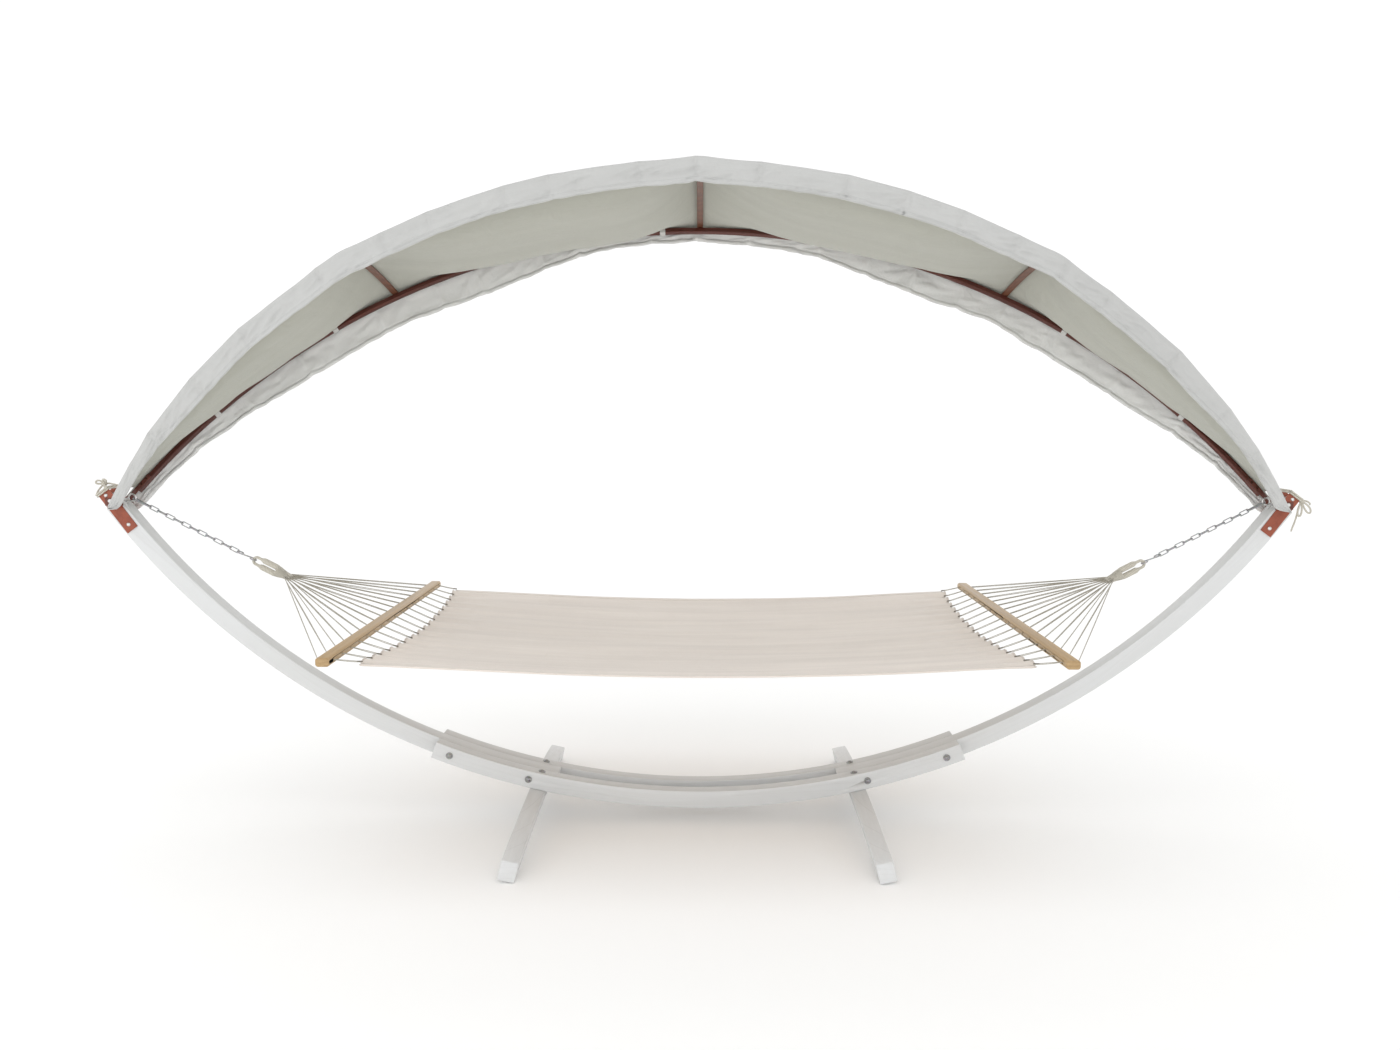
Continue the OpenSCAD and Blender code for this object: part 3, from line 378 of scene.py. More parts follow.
def canopyRows():
    edge, over, roof = (sunroof[zone] for zone in ("edgeRows", "bowRows", "roofRows"))
    return edge, over, roof, 2 * (edge + over) + roof


def easeStep(value, low, high):
    share = max(0, min(1, (value - low) / (high - low)))
    return share * share * (3 - 2 * share)


def sharesOf(count):
    return [step / count for step in range(count + 1)]


def waver(x, y, z):
    return noise.noise(Vector((x, y, z)))


def leanBack(point):
    # the whole canopy leans back over the tips
    x, y, z = point
    return Vector((
        x,
        y * cos(lean) + z * sin(lean),
        z * cos(lean) - y * sin(lean) + sunroof["base"],
    ))


def bowPoint(side, angle, radius, out):
    rise = radius * cos(angle) - bowDrop
    return Vector((
        radius * sin(angle),
        side * (sunroof["bowY"] + rise * sin(splay) + out * cos(splay)),
        rise * cos(splay) - out * sin(splay),
    ))


def crossTilt(angle):
    return atan2(cos(angle) * sin(splay), sin(angle) ** 2 + cos(angle) ** 2 * cos(splay))


def topY(angle, radius):
    rise = radius * cos(angle) - bowDrop
    return sunroof["bowY"] + rise * sin(splay)


def liftAt(angle):
    # how far the cloth stands off the bows beside each crossbar
    bars = (-sunroof["crossbar"], 0, sunroof["crossbar"])
    nearest = min(abs(angle - bar) for bar in bars) * bowRadius
    share = max(0, nearest - sunroof["flat"]) / sunroof["ease"]
    return sunroof["lift"] * max(0, 1 - share) ** 2


def sagAt(angle):
    bars = (-sunroof["roofEnd"], -sunroof["crossbar"], 0, sunroof["crossbar"], sunroof["roofEnd"])
    angle = max(bars[0], min(bars[-1], angle))
    inset = sunroof["overBar"] / bowRadius
    for low, high, (sag, skew, square) in zip(bars, bars[1:], sunroof["sags"]):
        if low <= angle <= high:
            share = max(0, min(1, (angle - low - inset) / (high - low - 2 * inset)))
            return sag * (1 - abs(2 * share ** skew - 1) ** square)
    return 0


foldPlaces = [radians(value) for value in sunroof["folds"]]
foldRise = [sunroof["gap"]] + [
    bowRadius * (1 / cos((after - before) / 4) - 1)
    for before, after in zip(foldPlaces, foldPlaces[2:])
] + [sunroof["gap"]]


def facetAt(angle):
    for index, (low, high) in enumerate(zip(foldPlaces, foldPlaces[1:])):
        if low <= angle <= high:
            return index, low, high
    return None


def facetRise(angle):
    # the cloth runs straight from fold to fold, so it stands off the bow at each of them
    facet = facetAt(angle)
    if not facet:
        return 0
    index, low, high = facet
    first, last = bowRadius + foldRise[index], bowRadius + foldRise[index + 1]
    line = first * last * sin(high - low) / (first * sin(angle - low) + last * sin(high - angle))
    return max(0, line - bowRadius)


def toFold(angle):
    return min(abs(angle - place) for place in foldPlaces[1:-1]) * bowRadius


def clothRadius(angle):
    return bowRadius + sunroof["bowDepth"] / 2 + sunroof["gap"] + sunroof["cloth"] + liftAt(angle)


edgeSet = {
    "hang": 0.069, "lobe": 0.050, "lobeRound": 0.72, "lobeCut": (0.9, 1.4), "swing": 0.005, "swingTurn": (7.3, 2.1),
    # change of reach, and the degrees from the middle between which it comes
    "frontLeft": (0.42, 44, 57), "frontRight": (0.36, 43, 54),
    "backMiddle": 0.62, "backGain": (0.85, 7, 22), "backLoss": (0.9, 38, 57),
    "standOff": 0.008, "least": 0.0042, "flare": 0.006, "upright": 0.9, "billow": 0.004,
    "pinchReach": 0.016, "pinchFade": 0.6, "groove": 0.0030, "grooveReach": 0.008, "grooveFade": 0.8,
    # height and waves per metre
    "wander": (0.05, 4.1), "ridge": (0.012, 15), "ripple": (0.005, 9), "crumple": (0.0036, 30), "ridgeMiddle": 0.35,
    "hemRow": 0.0059, "hemFlat": 0.006, "hemThickness": 0.003,
    # each zone lies apart on the flat cloth, and the stitches run beside the hem
    "flatEdge": 2, "flatHem": 3, "seam": 0.014,
}


def hemReach(side, angle):
    away = abs(degrees(angle))
    if side < 0:
        loss, start, end = edgeSet["frontRight" if angle > 0 else "frontLeft"]
        return edgeSet["hang"] * (1 - loss * easeStep(away, start, end))
    (gain, *gainBand), (loss, *lossBand) = edgeSet["backGain"], edgeSet["backLoss"]
    share = edgeSet["backMiddle"] + gain * easeStep(away, *gainBand) - loss * easeStep(away, *lossBand)
    return edgeSet["hang"] * share


def hemSwing(side, angle):
    # how far the hem swings out or in at each fold, straight between them
    facet = facetAt(angle)
    if not facet:
        return 0
    index, low, high = facet
    share = (angle - low) / (high - low)
    perFold, perSide = edgeSet["swingTurn"]
    first, last = (sin(perFold * (index + step) + perSide * side) for step in (0, 1))
    return edgeSet["swing"] * (first + (last - first) * share)


def edgeReach(side, angle):
    # the hanging edge ends in a rounded lobe over each tip, cut slanting at the front right
    start = sunroof["edgeEnd"] - edgeSet["lobe"] / bowRadius
    past = min(1, max(0, (abs(angle) - start) * bowRadius) / edgeSet["lobe"])
    if side < 0 and angle > 0:
        cut, power = edgeSet["lobeCut"]
        reach = hemReach(side, angle) * (1 - cut * past ** power)
    else:
        reach = hemReach(side, angle) * (1 - edgeSet["lobeRound"] * (1 - sqrt(1 - past ** 2)))
    share, waves = edgeSet["wander"]
    return reach * (1 + share * waver(angle * bowRadius * waves, side * 4, 0.3))


def edgePoint(side, angle, depth):
    # depth is 0 at the top of the bow and 1 at the hem
    shape = edgeSet
    along = angle * bowRadius
    reach = edgeReach(side, angle)
    (ridge, ridgeWaves), (ripple, rippleWaves), (crumple, crumpleWaves) = (
        shape[name] for name in ("ridge", "ripple", "crumple"))
    ridge *= min(1, depth * 3) * (
        shape["ridgeMiddle"] - abs(waver(along * ridgeWaves + depth * 2, depth * 2.6, side * 3.0)))
    ripple *= depth ** 1.5 * waver(along * rippleWaves, side * 7, depth * 0.8)
    crumple *= waver(along * crumpleWaves, depth * 2.6, side)
    pinch = exp(-(toFold(angle) / shape["pinchReach"]) ** 2)
    billow = shape["billow"] * ((1 - pinch) * sin(pi * min(1, depth * 0.8))
                                - pinch * min(1, depth * 3) * (1 - shape["pinchFade"] * depth ** 2))
    groove = shape["groove"] * exp(-(toFold(angle) / shape["grooveReach"]) ** 2) * (
        1 - shape["grooveFade"] * depth ** 2) * min(1, depth * 4)
    out = (bowWidth / 2 + shape["standOff"] + shape["flare"] * depth ** 2
           + billow + ripple + crumple + ridge - groove + depth * hemSwing(side, angle))
    upright = depth * reach * tan(splay) * shape["upright"] * cos(angle)
    rise = facetRise(angle) * (1 - 0.2 * depth)
    return bowPoint(side, angle, clothRadius(angle) + rise - depth * reach,
                    max(out, bowWidth / 2 + shape["least"]) + upright)


def columnAngles():
    # the columns of the mesh stand closer together at each fold
    end, count, fine = sunroof["edgeEnd"], sunroof["columns"], sunroof["fineSteps"]
    places = [end * (2 * share - 1) for share in sharesOf(fine)]
    sums = [0]
    for place in places[1:]:
        crowd = sunroof["foldCrowd"] * exp(-(toFold(place) / sunroof["foldReach"]) ** 2)
        sums.append(sums[-1] + 1 + crowd)
    angles, step = [], 0
    for column in range(count + 1):
        want = sums[-1] * column / count
        while step < fine - 1 and sums[step + 1] < want:
            step += 1
        share = (want - sums[step]) / (sums[step + 1] - sums[step])
        angles.append(places[step] + (places[step + 1] - places[step]) * share)
    return angles


def roofPoint(angle, share):
    # share runs from -1 at the front bow to 1 at the back bow
    radius = clothRadius(angle) + facetRise(angle)
    tilt = crossTilt(angle)
    arch = topY(angle, radius) / sin(tilt)
    turn = share * (tilt - (bowWidth / 2 + sunroof["besideBow"]) / arch)
    sag = sagAt(angle) * topY(angle, radius) / topY(0, radius) * (1 - abs(share) ** 3)
    along = angle * bowRadius
    tension = sunroof["tension"] * sagAt(angle) * waver(along * 2.2 + share * 2.5, share * 5 - along, 1.7)
    crumple = sunroof["crumple"] * (1 - share ** 4) * waver(
        along * 7 - share * 3, share * 2.2 + along * 5, 4.1)
    rise = (radius * cos(angle) - bowDrop) * cos(splay)
    north = (radius * sin(angle) ** 2 + rise * cos(angle)
             - arch * cos(tilt) + arch * cos(turn) - sag + tension + crumple)
    sideways = radius * sin(angle) * cos(angle) - rise * sin(angle)
    return Vector((
        sideways * cos(angle) + north * sin(angle),
        arch * sin(turn),
        north * cos(angle) - sideways * sin(angle),
    ))


def canopyPoint(angle, row):
    edge, over, roof, last = canopyRows()
    side = -1 if row <= last / 2 else 1
    fromHem = row if side < 0 else last - row
    if fromHem <= edge:
        return edgePoint(side, angle, 1 - fromHem / edge)
    if fromHem >= edge + over:
        return roofPoint(angle, 2 * (row - edge - over) / roof - 1)
    share = 2 * (fromHem - edge) / over
    overBow = bowPoint(side, angle, clothRadius(angle) + facetRise(angle) + sunroof["overBow"], 0)
    if share < 1:
        return edgePoint(side, angle, 0).lerp(overBow, share)
    return overBow.lerp(roofPoint(angle, side), share - 1)


def canopyFlat(angle, row, onRoof):
    # metres along and across the cut cloth, measured from the middle of the roof or from the hem
    edge, over, roof, last = canopyRows()
    along = angle * bowRadius
    if onRoof:
        return along, topY(angle, bowRadius) * (2 * (row - edge - over) / roof - 1)
    side = -1 if row < last / 2 else 1
    return along, side * (edgeSet["flatEdge"] - hemReach(side, angle) * min(row, last - row) / edge)


def layCloth(name, columns, rows, place, flat, thickness, cut=None, insideAt=lambda row: 1):
    clearSelection()
    bpy.ops.mesh.primitive_grid_add(x_subdivisions=columns, y_subdivisions=rows, size=2)
    piece = bpy.context.object
    piece.name = name
    mesh = piece.data
    steps = [(round((v.co.x + 1) / 2 * columns), round((v.co.y + 1) / 2 * rows)) for v in mesh.vertices]
    for vertex, (column, row) in zip(mesh.vertices, steps):
        vertex.co = place(column / columns, row)
    mesh.attributes.new("row", "FLOAT", "POINT").data.foreach_set("value", [row for column, row in steps])
    layer = mesh.uv_layers[0].data
    for face in mesh.polygons:
        low = min(steps[v][1] for v in face.vertices)
        for loop in face.loop_indices:
            column, row = steps[mesh.loops[loop].vertex_index]
            layer[loop].uv = flat(column / columns, row, low)
    if cut:
        setMode("EDIT")
        bpy.ops.mesh.select_mode(type="FACE")
        bpy.ops.mesh.select_all(action="DESELECT")
        setMode("OBJECT")
        for face in mesh.polygons:
            face.select = cut(face.center, min(steps[v][1] for v in face.vertices))
        setMode("EDIT")
        bpy.ops.mesh.delete(type="FACE")
        setMode("OBJECT")
    outerCount = len(mesh.vertices)
    thicken = piece.modifiers.new("thickness", "SOLIDIFY")
    thicken.thickness = thickness
    thicken.offset = -1
    bpy.ops.object.modifier_apply(modifier="thickness")
    rowOf = [0.0] * len(piece.data.vertices)
    piece.data.attributes["row"].data.foreach_get("value", rowOf)
    # the inside value chooses where the cloth finish lays its painted shade and painted light
    inside = [0.0 if index < outerCount else insideAt(row) for index, row in enumerate(rowOf)]
    piece.data.attributes.new("inside", "FLOAT", "POINT").data.foreach_set("value", inside)
    bpy.ops.object.shade_smooth()
    return piece


def dress(piece, finish, body):
    piece.data.materials.clear()
    piece.data.materials.append(finish)
    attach(piece, body)


frontOrBack = {-1: "Front", 1: "Back"}
leftOrRight = {-1: "Left", 1: "Right"}


def makeCanopy(cloth):
    columns = sunroof["columns"]
    edge, over, _, last = canopyRows()
    roofReach = bowRadius * sin(sunroof["tipEnd"])
    angles = columnAngles()

    def onRoof(low):
        return edge + over <= low < last - edge - over

    sheet = layCloth(
        "canopySheet", columns, last,
        lambda u, row: leanBack(canopyPoint(angles[round(u * columns)], row)),
        lambda u, row, low: canopyFlat(angles[round(u * columns)], row, onRoof(low)),
        sunroof["thickness"],
        cut=lambda centre, low: abs(centre.x) > roofReach and onRoof(low),
        # the roof's underside takes the painted shade, the backs of the hanging edges the painted light
        insideAt=lambda row: 1 if edge < row < last - edge else 0.5,
    )
    dress(sheet, cloth, "stand")
    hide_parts("canopy_roof", "canopy_valance_front", "canopy_valance_back")
    hems = []
    for side in (-1, 1):
        def hemPlace(u, row, side=side):
            angle = angles[round(u * columns)]
            up = (row if side < 0 else 2 - row) * edgeSet["hemRow"]
            return leanBack(edgePoint(side, angle, 1 - up / hemReach(side, angle)))

        def hemFlat(u, row, low):
            return (bowRadius * angles[round(u * columns)],
                    edgeSet["flatHem"] + row * edgeSet["hemFlat"])

        # the back of each hem takes the painted light of a hanging edge
        hem = layCloth("canopyHem" + frontOrBack[side], columns, 2, hemPlace, hemFlat,
                       edgeSet["hemThickness"], insideAt=lambda row: 0.5)
        dress(hem, cloth, "stand")
        hems.append(hem)
    return sheet, hems


# bed cloth
bedSize = {
    "length": 1.886, "width": 1.300, "corner": 0.025, "endZ": 0.641, "sag": 0.050, "cup": 0.048, "endRise": 0.035,
    "columns": 130, "rows": 260, "closer": 0.3, "thickness": 0.0024, "above": 0.003, "pastEnd": 0.006,
    "loops": 17, "loopInset": 0.010, "notch": 0.016, "notchWidth": 0.008, "notchFrom": 0.90,
    "fan": 0.0065, "fanFrom": 0.72, "wave": 0.0042, "smallWave": 0.0014, "seam": 0.632,
    "bandRows": 3, "bandIn": 0.016, "bandShort": 0.004, "bandShift": (0.0008, 0.001),
    "bandThickness": 0.0046, "bandFlat": 0.9, "bandFlatRow": 0.007,
    "endCord": 0.0062, "endSteps": 320, "endWidth": 0.996, "endShift": (-0.001, 0, -0.0008),
}


def bedEnd(y):
    return bedSize["length"] / 2 + bedSize["corner"] * (2 * y / bedSize["width"]) ** 2


def bedHeight(x, y):
    side = (2 * y / bedSize["width"]) ** 2
    middle = bedSize["endZ"] - bedSize["sag"] + bedSize["cup"] * side
    return middle + (bedSize["endZ"] + bedSize["endRise"] * side - middle) * (x / bedEnd(y)) ** 2


def loopPitch():
    return (bedSize["width"] - 2 * bedSize["loopInset"]) / (bedSize["loops"] - 1)


def loopPlaces():
    return [(index - (bedSize["loops"] - 1) / 2) * loopPitch() for index in range(bedSize["loops"])]


def bedAlong(u):
    # a share -1 to 1 of the length, with closer steps near both ends
    share = 2 * u - 1
    return share * (1 + bedSize["closer"] - bedSize["closer"] * share * share)


def bedPoint(u, across):
    y = bedSize["width"] * across
    fromLoop = (y / loopPitch() + 0.5) % 1 - 0.5
    share = bedAlong(u)
    notch = bedSize["notch"] * exp(-(fromLoop * loopPitch() / bedSize["notchWidth"]) ** 2)
    x = share * (bedEnd(y) + bedSize["pastEnd"] - notch * easeStep(abs(share), bedSize["notchFrom"], 1.0))
    pull = max(0, abs(share) - bedSize["fanFrom"]) / (1 - bedSize["fanFrom"])
    fan = -bedSize["fan"] * pull ** 2 * cos(2 * pi * fromLoop)
    waves = (bedSize["wave"] * waver(x * 1.3, y * 7.5, 2.0)
             + bedSize["smallWave"] * waver(x * 3, y * 26, 5.0))
    return Vector((x, y, bedHeight(x, y) + bedSize["above"] + fan + waves))


def makeBed(cloth):
    columns, rows, width = bedSize["columns"], bedSize["rows"], bedSize["width"]
    sheet = layCloth(
        "bedSheet", columns, rows,
        lambda u, row: bedPoint(u, row / rows - 0.5),
        lambda u, row, low: (bedSize["length"] / 2 * bedAlong(u), width * (row / rows - 0.5)),
        bedSize["thickness"],
    )
    dress(sheet, cloth, "bed")
    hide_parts("bed_cloth")
    trims = []
    for side in (-1, 1):
        def bandPlace(u, row, side=side):
            inward = (row if side < 0 else bedSize["bandRows"] - row) / bedSize["bandRows"]
            short, (out, up) = bedSize["bandShort"], bedSize["bandShift"]
            point = bedPoint(short + (1 - 2 * short) * u, side * (0.5 - bedSize["bandIn"] * inward))
            return point + Vector((0, side * out, up))

        def bandFlat(u, row, low):
            return bedSize["length"] / 2 * bedAlong(u), bedSize["bandFlat"] + row * bedSize["bandFlatRow"]

        band = layCloth("bedEdge" + frontOrBack[side], columns, bedSize["bandRows"], bandPlace, bandFlat,
                        bedSize["bandThickness"])
        dress(band, cloth, "bed")
        trims.append(band)
    return sheet, trims


def makeEndHem(side, cloth):
    points = [bedPoint(0.5 + 0.5 * side, (share - 0.5) * bedSize["endWidth"]) + outward(side, bedSize["endShift"])
              for share in sharesOf(bedSize["endSteps"])]
    hem = makeCord("bedEnd" + leftOrRight[side], points, bedSize["endCord"])
    hem.data.attributes.new("inside", "FLOAT", "POINT")
    dress(hem, cloth, "bed")
    return hem


# cords and ropes
def makeCord(name, points, thickness, closed=False, resolution=1):
    curve = bpy.data.curves.new(name, "CURVE")
    curve.dimensions = "3D"
    curve.bevel_depth = thickness / 2
    curve.bevel_resolution = resolution
    curve.use_fill_caps = not closed
    spline = curve.splines.new("POLY")
    spline.points.add(len(points) - 1)
    for knot, point in zip(spline.points, points):
        knot.co = (*point, 1)
    spline.use_cyclic_u = closed
    length = sum((Vector(a) - Vector(b)).length for a, b in zip(points, points[1:]))
    piece = bpy.data.objects.new(name, curve)
    bpy.context.collection.objects.link(piece)
    pickOnly(piece)
    bpy.ops.object.convert(target="MESH")
    piece = bpy.context.object
    for loop in piece.data.uv_layers[0].data:
        loop.uv.x *= length
    return piece


def joinPieces(pieces, name, side, finish, body, node=None):
    pickOnly(pieces[0])
    for piece in pieces:
        piece.select_set(True)
    bpy.ops.object.join()
    joined = bpy.context.object
    joined.name = name + leftOrRight[side]
    dress(joined, finish, body)
    if node:
        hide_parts(node + leftOrRight[side].lower())


# places on a hanger: along it from the eye bolt, across the bed, and up from its line
hanger = {"x": 1.90918, "z": 1.08995, "pitch": radians(27.4), "eye": 0.44408, "band": 0.54138, "fan": 0.57568}
barPlace = {"x": 1.060, "z": 0.690, "length": 1.400, "width": 0.040, "inset": 0.040}
cords = {
    "thickness": 0.0028, "thin": 0.0022, "step": 0.0024, "row": 0.005, "slack": 0.0016, "part": 0.0026,
    "steps": 12, "pairSteps": 8, "intoBand": 0.012, "outOfBar": (0.005, 0, 0.0004), "throughBar": (-0.007, 0, 0),
    "besideBar": (0.006, 0, 0.003), "besideSlack": -0.3, "inCloth": 0.004, "pairStart": (-0.004, 0.0012, 0.0006),
    "pairEnd": 0.0016, "pairSlack": 0.0006, "pairPart": 0.0036,
    "wrap": 0.016, "wrapSteps": 4, "wrapRise": 0.0004, "wrapThickness": 0.0040,
}


def hangerPoint(side, along, y, up):
    pitch = hanger["pitch"]
    return Vector((
        side * (hanger["x"] - along * cos(pitch) + up * sin(pitch)),
        y,
        hanger["z"] - along * sin(pitch) - up * cos(pitch),
    ))


def droop(first, last, steps, slack):
    return [first.lerp(last, share) - Vector((0, 0, 4 * slack * share * (1 - share))) for share in sharesOf(steps)]


def outward(side, offset):
    return Vector((side * offset[0], offset[1], offset[2]))


def makeCords(side, finish, thread):
    places = loopPlaces()
    middle = (len(places) - 1) / 2
    pitch = (barPlace["length"] - 2 * barPlace["inset"]) / (len(places) - 1)
    steps, pairSteps, wrapSteps = cords["steps"], cords["pairSteps"], cords["wrapSteps"]
    pieces, wraps = [], []
    for index, y in enumerate(places):
        place = index - middle
        row = (index % 2 - 0.5) * cords["row"]
        start = hangerPoint(side, hanger["fan"] - cords["intoBand"], place * cords["step"], row)
        outer, inner = (Vector((side * (barPlace["x"] + way * barPlace["width"] / 2), place * pitch, barPlace["z"]))
                        for way in (1, -1))
        # two cords from the rope eye to each hole: one through it, one beside it
        slack = cords["slack"] * (0.5 + 0.5 * abs(sin(index * 2.3)))
        run = droop(start, outer + outward(side, cords["outOfBar"]), steps, slack)
        run.append(inner + outward(side, cords["throughBar"]))
        pieces.append(makeCord("fanCord", run, cords["thickness"]))
        beside = droop(start, outer + outward(side, cords["besideBar"]), steps, cords["besideSlack"] * slack)
        for step, point in enumerate(beside):
            point.y += cords["part"] * sin(pi * step / steps) * (1 if index % 2 else -1)
        pieces.append(makeCord("fanCord", beside, cords["thickness"]))
        # two thin cords from each hole to the cloth, wrapped together at the cloth
        end = Vector((side * (bedEnd(y) - cords["inCloth"]), y, bedHeight(bedEnd(y), y) + cords["inCloth"]))
        for hand in (-1, 1):
            first = inner + Vector([way * step for way, step in zip((side, hand, hand), cords["pairStart"])])
            points = droop(first, end + Vector((0, hand * cords["pairEnd"], 0)), pairSteps, cords["pairSlack"])
            for step, point in enumerate(points):
                point.y += hand * cords["pairPart"] * sin(pi * (step / pairSteps) ** 1.5)
            pieces.append(makeCord("pairCord", points, cords["thin"]))
        # dark wraps at each cord end stand in for the shaded slits at the cloth's end: painted shade
        along = (end - inner).normalized()
        tail = [end - along * cords["wrap"] * (1 - step / wrapSteps) + Vector((0, 0, cords["wrapRise"] * step))
                for step in range(wrapSteps + 1)]
        wraps.append(makeCord("endWrap", tail, cords["wrapThickness"]))
    joinPieces(pieces, "clewCords", side, finish, "bed", "clew_cords_")
    joinPieces(wraps, "endWraps", side, thread, "bed")


# rope eye, laid from six strands
ropeEye = {
    "length": 0.092, "radius": 0.012, "strands": 6, "strand": 0.0055, "steps": 260, "turns": 12,
    "lay": 0.0022, "swell": 0.0050, "swellBand": (0.021, 0.038),
}


def stadium(share, length, radius):
    # a point and its outward direction on a long loop, x from 0 to length; both halves are alike
    straight = length - 2 * radius
    half = straight + pi * radius
    lap, run = divmod(share * 2 * half, half)
    way = -1 if lap else 1
    turn = pi / 2 - max(0, run - straight) / radius
    x = min(run, straight) - straight / 2 + radius * cos(turn)
    return (length / 2 + way * x, way * radius * sin(turn)), (way * cos(turn), way * sin(turn))


def makeRopeEye(side, finish):
    strands = []
    for strand in range(ropeEye["strands"]):
        points = []
        for step in range(ropeEye["steps"]):
            share = step / ropeEye["steps"]
            (x, z), (nx, nz) = stadium(share, ropeEye["length"], ropeEye["radius"])
            # slim where the hook holds it
            lay = ropeEye["lay"] + ropeEye["swell"] * easeStep(x, *ropeEye["swellBand"])
            twist = 2 * pi * (ropeEye["turns"] * share + strand / ropeEye["strands"])
            out, across = lay * cos(twist), lay * sin(twist)
            points.append(hangerPoint(side, hanger["eye"] + x + nx * out, across, -(z + nz * out)))
        strands.append(makeCord("eyeStrand", points, ropeEye["strand"], closed=True, resolution=2))
    joinPieces(strands, "ropeEye", side, finish, "bed", "clew_loop_")


# whipping round the neck, over the bundle of cords
whipping = {
    "cord": 0.0034, "overlap": 1.04, "from": -0.012, "turns": 12, "steps": 40,
    "high": (0.036, 0.020), "wide": (0.036, 0.045),
    "inner": 0.0062, "count": 9, "step": 0.0042, "rows": (-0.011, -0.004, 0.004, 0.011),
    "topRow": 0.01, "topCount": 2, "length": 0.054, "spread": (0.75, 0.3), "close": 0.45,
}


def makeWhipping(side, finish):
    cord, turns, steps = whipping["cord"], whipping["turns"], whipping["steps"]
    start = hanger["band"] + whipping["from"]
    points = []
    for step, share in enumerate(sharesOf(turns * steps)):
        height = whipping["high"][0] + (whipping["high"][1] - whipping["high"][0]) * easeStep(share, 0, 1)
        width = whipping["wide"][0] + (whipping["wide"][1] - whipping["wide"][0]) * share
        lap = 2 * pi * step / steps
        points.append(hangerPoint(side, start + share * turns * cord, width / 2 * cos(lap), height / 2 * sin(lap)))
    pieces = [makeCord("whippingWrap", points, cord * whipping["overlap"])]
    for index in range(whipping["count"]):
        place = index - (whipping["count"] - 1) // 2
        for row in whipping["rows"]:
            if abs(row) > whipping["topRow"] and abs(place) > whipping["topCount"]:
                continue
            base, grow = whipping["spread"]
            run = [hangerPoint(side, start + t * whipping["length"],
                               place * whipping["step"] * (base + grow * t), row * (1 - whipping["close"] * t))
                   for t in (0, 0.25, 0.5, 0.75, 1.0)]
            pieces.append(makeCord("bundleCord", run, whipping["inner"]))
    joinPieces(pieces, "whipping", side, finish, "bed", "clew_band_")


# canopy tie: two laps round the tip plates, a knot, two bights and two tails
tipPlace = {"x": 1.97069, "z": 1.07695, "angle": radians(53.9)}
tie = {
    "cord": 0.0062, "lapGap": 0.0003, "along": 0.0475, "plateY": 0.034, "plateUp": 0.0215, "around": 0.0029,
    "runUp": (0.9, 0.2), "runOut": 0.004, "turn": 0.0064, "knotCord": 1.1, "knotSteps": 16, "knotSkew": 0.4,
    "bightSteps": 24, "bightOut": 0.003, "tailSteps": 12, "tailCord": 0.95, "tailWave": 0.002, "tailWaves": 7,
    "fray": (0.002, 0.001, 0.004), "frayCord": 0.4,
    # along and across the tip, and up from it
    "knot": {-1: (0.074, -0.014, 0.012), 1: (0.050, -0.026, -0.031)},
    # direction, length, half width and drop
    "bights": {-1: (((-0.8, -0.2, 0.35), 0.026, 0.006, 0.004), ((0.3, -0.3, 0.7), 0.020, 0.006, 0.003)),
               1: (((0.62, -0.2, -0.75), 0.040, 0.008, 0.008), ((-0.30, -0.3, -0.85), 0.050, 0.007, 0.004))},
    # direction, length and drop
    "tails": {-1: (((-0.55, -0.1, -0.5), 0.036, 0.014), ((0.9, 0.1, 0.1), 0.046, 0.012)),
              1: (((-0.32, -0.1, -0.9), 0.100, 0.004), ((0.9, 0.1, 0.3), 0.034, 0.020))},
}


def tipPoint(side, along, y, up):
    turn = tipPlace["angle"]
    return Vector((
        side * (tipPlace["x"] + along * cos(turn) - up * sin(turn)),
        y,
        tipPlace["z"] + along * sin(turn) + up * cos(turn),
    ))


def tieRing(side, along):
    points = []
    for quarter, step in [(quarter, step) for quarter in range(4) for step in range(5)]:
        corner, turn = (pi / 2 * (quarter + share) for share in (0.5, step / 4))
        y = copysign(tie["plateY"], cos(corner)) + tie["around"] * cos(turn)
        up = copysign(tie["plateUp"], sin(corner)) + tie["around"] * sin(turn)
        points.append(tipPoint(side, along, y, up))
    return points


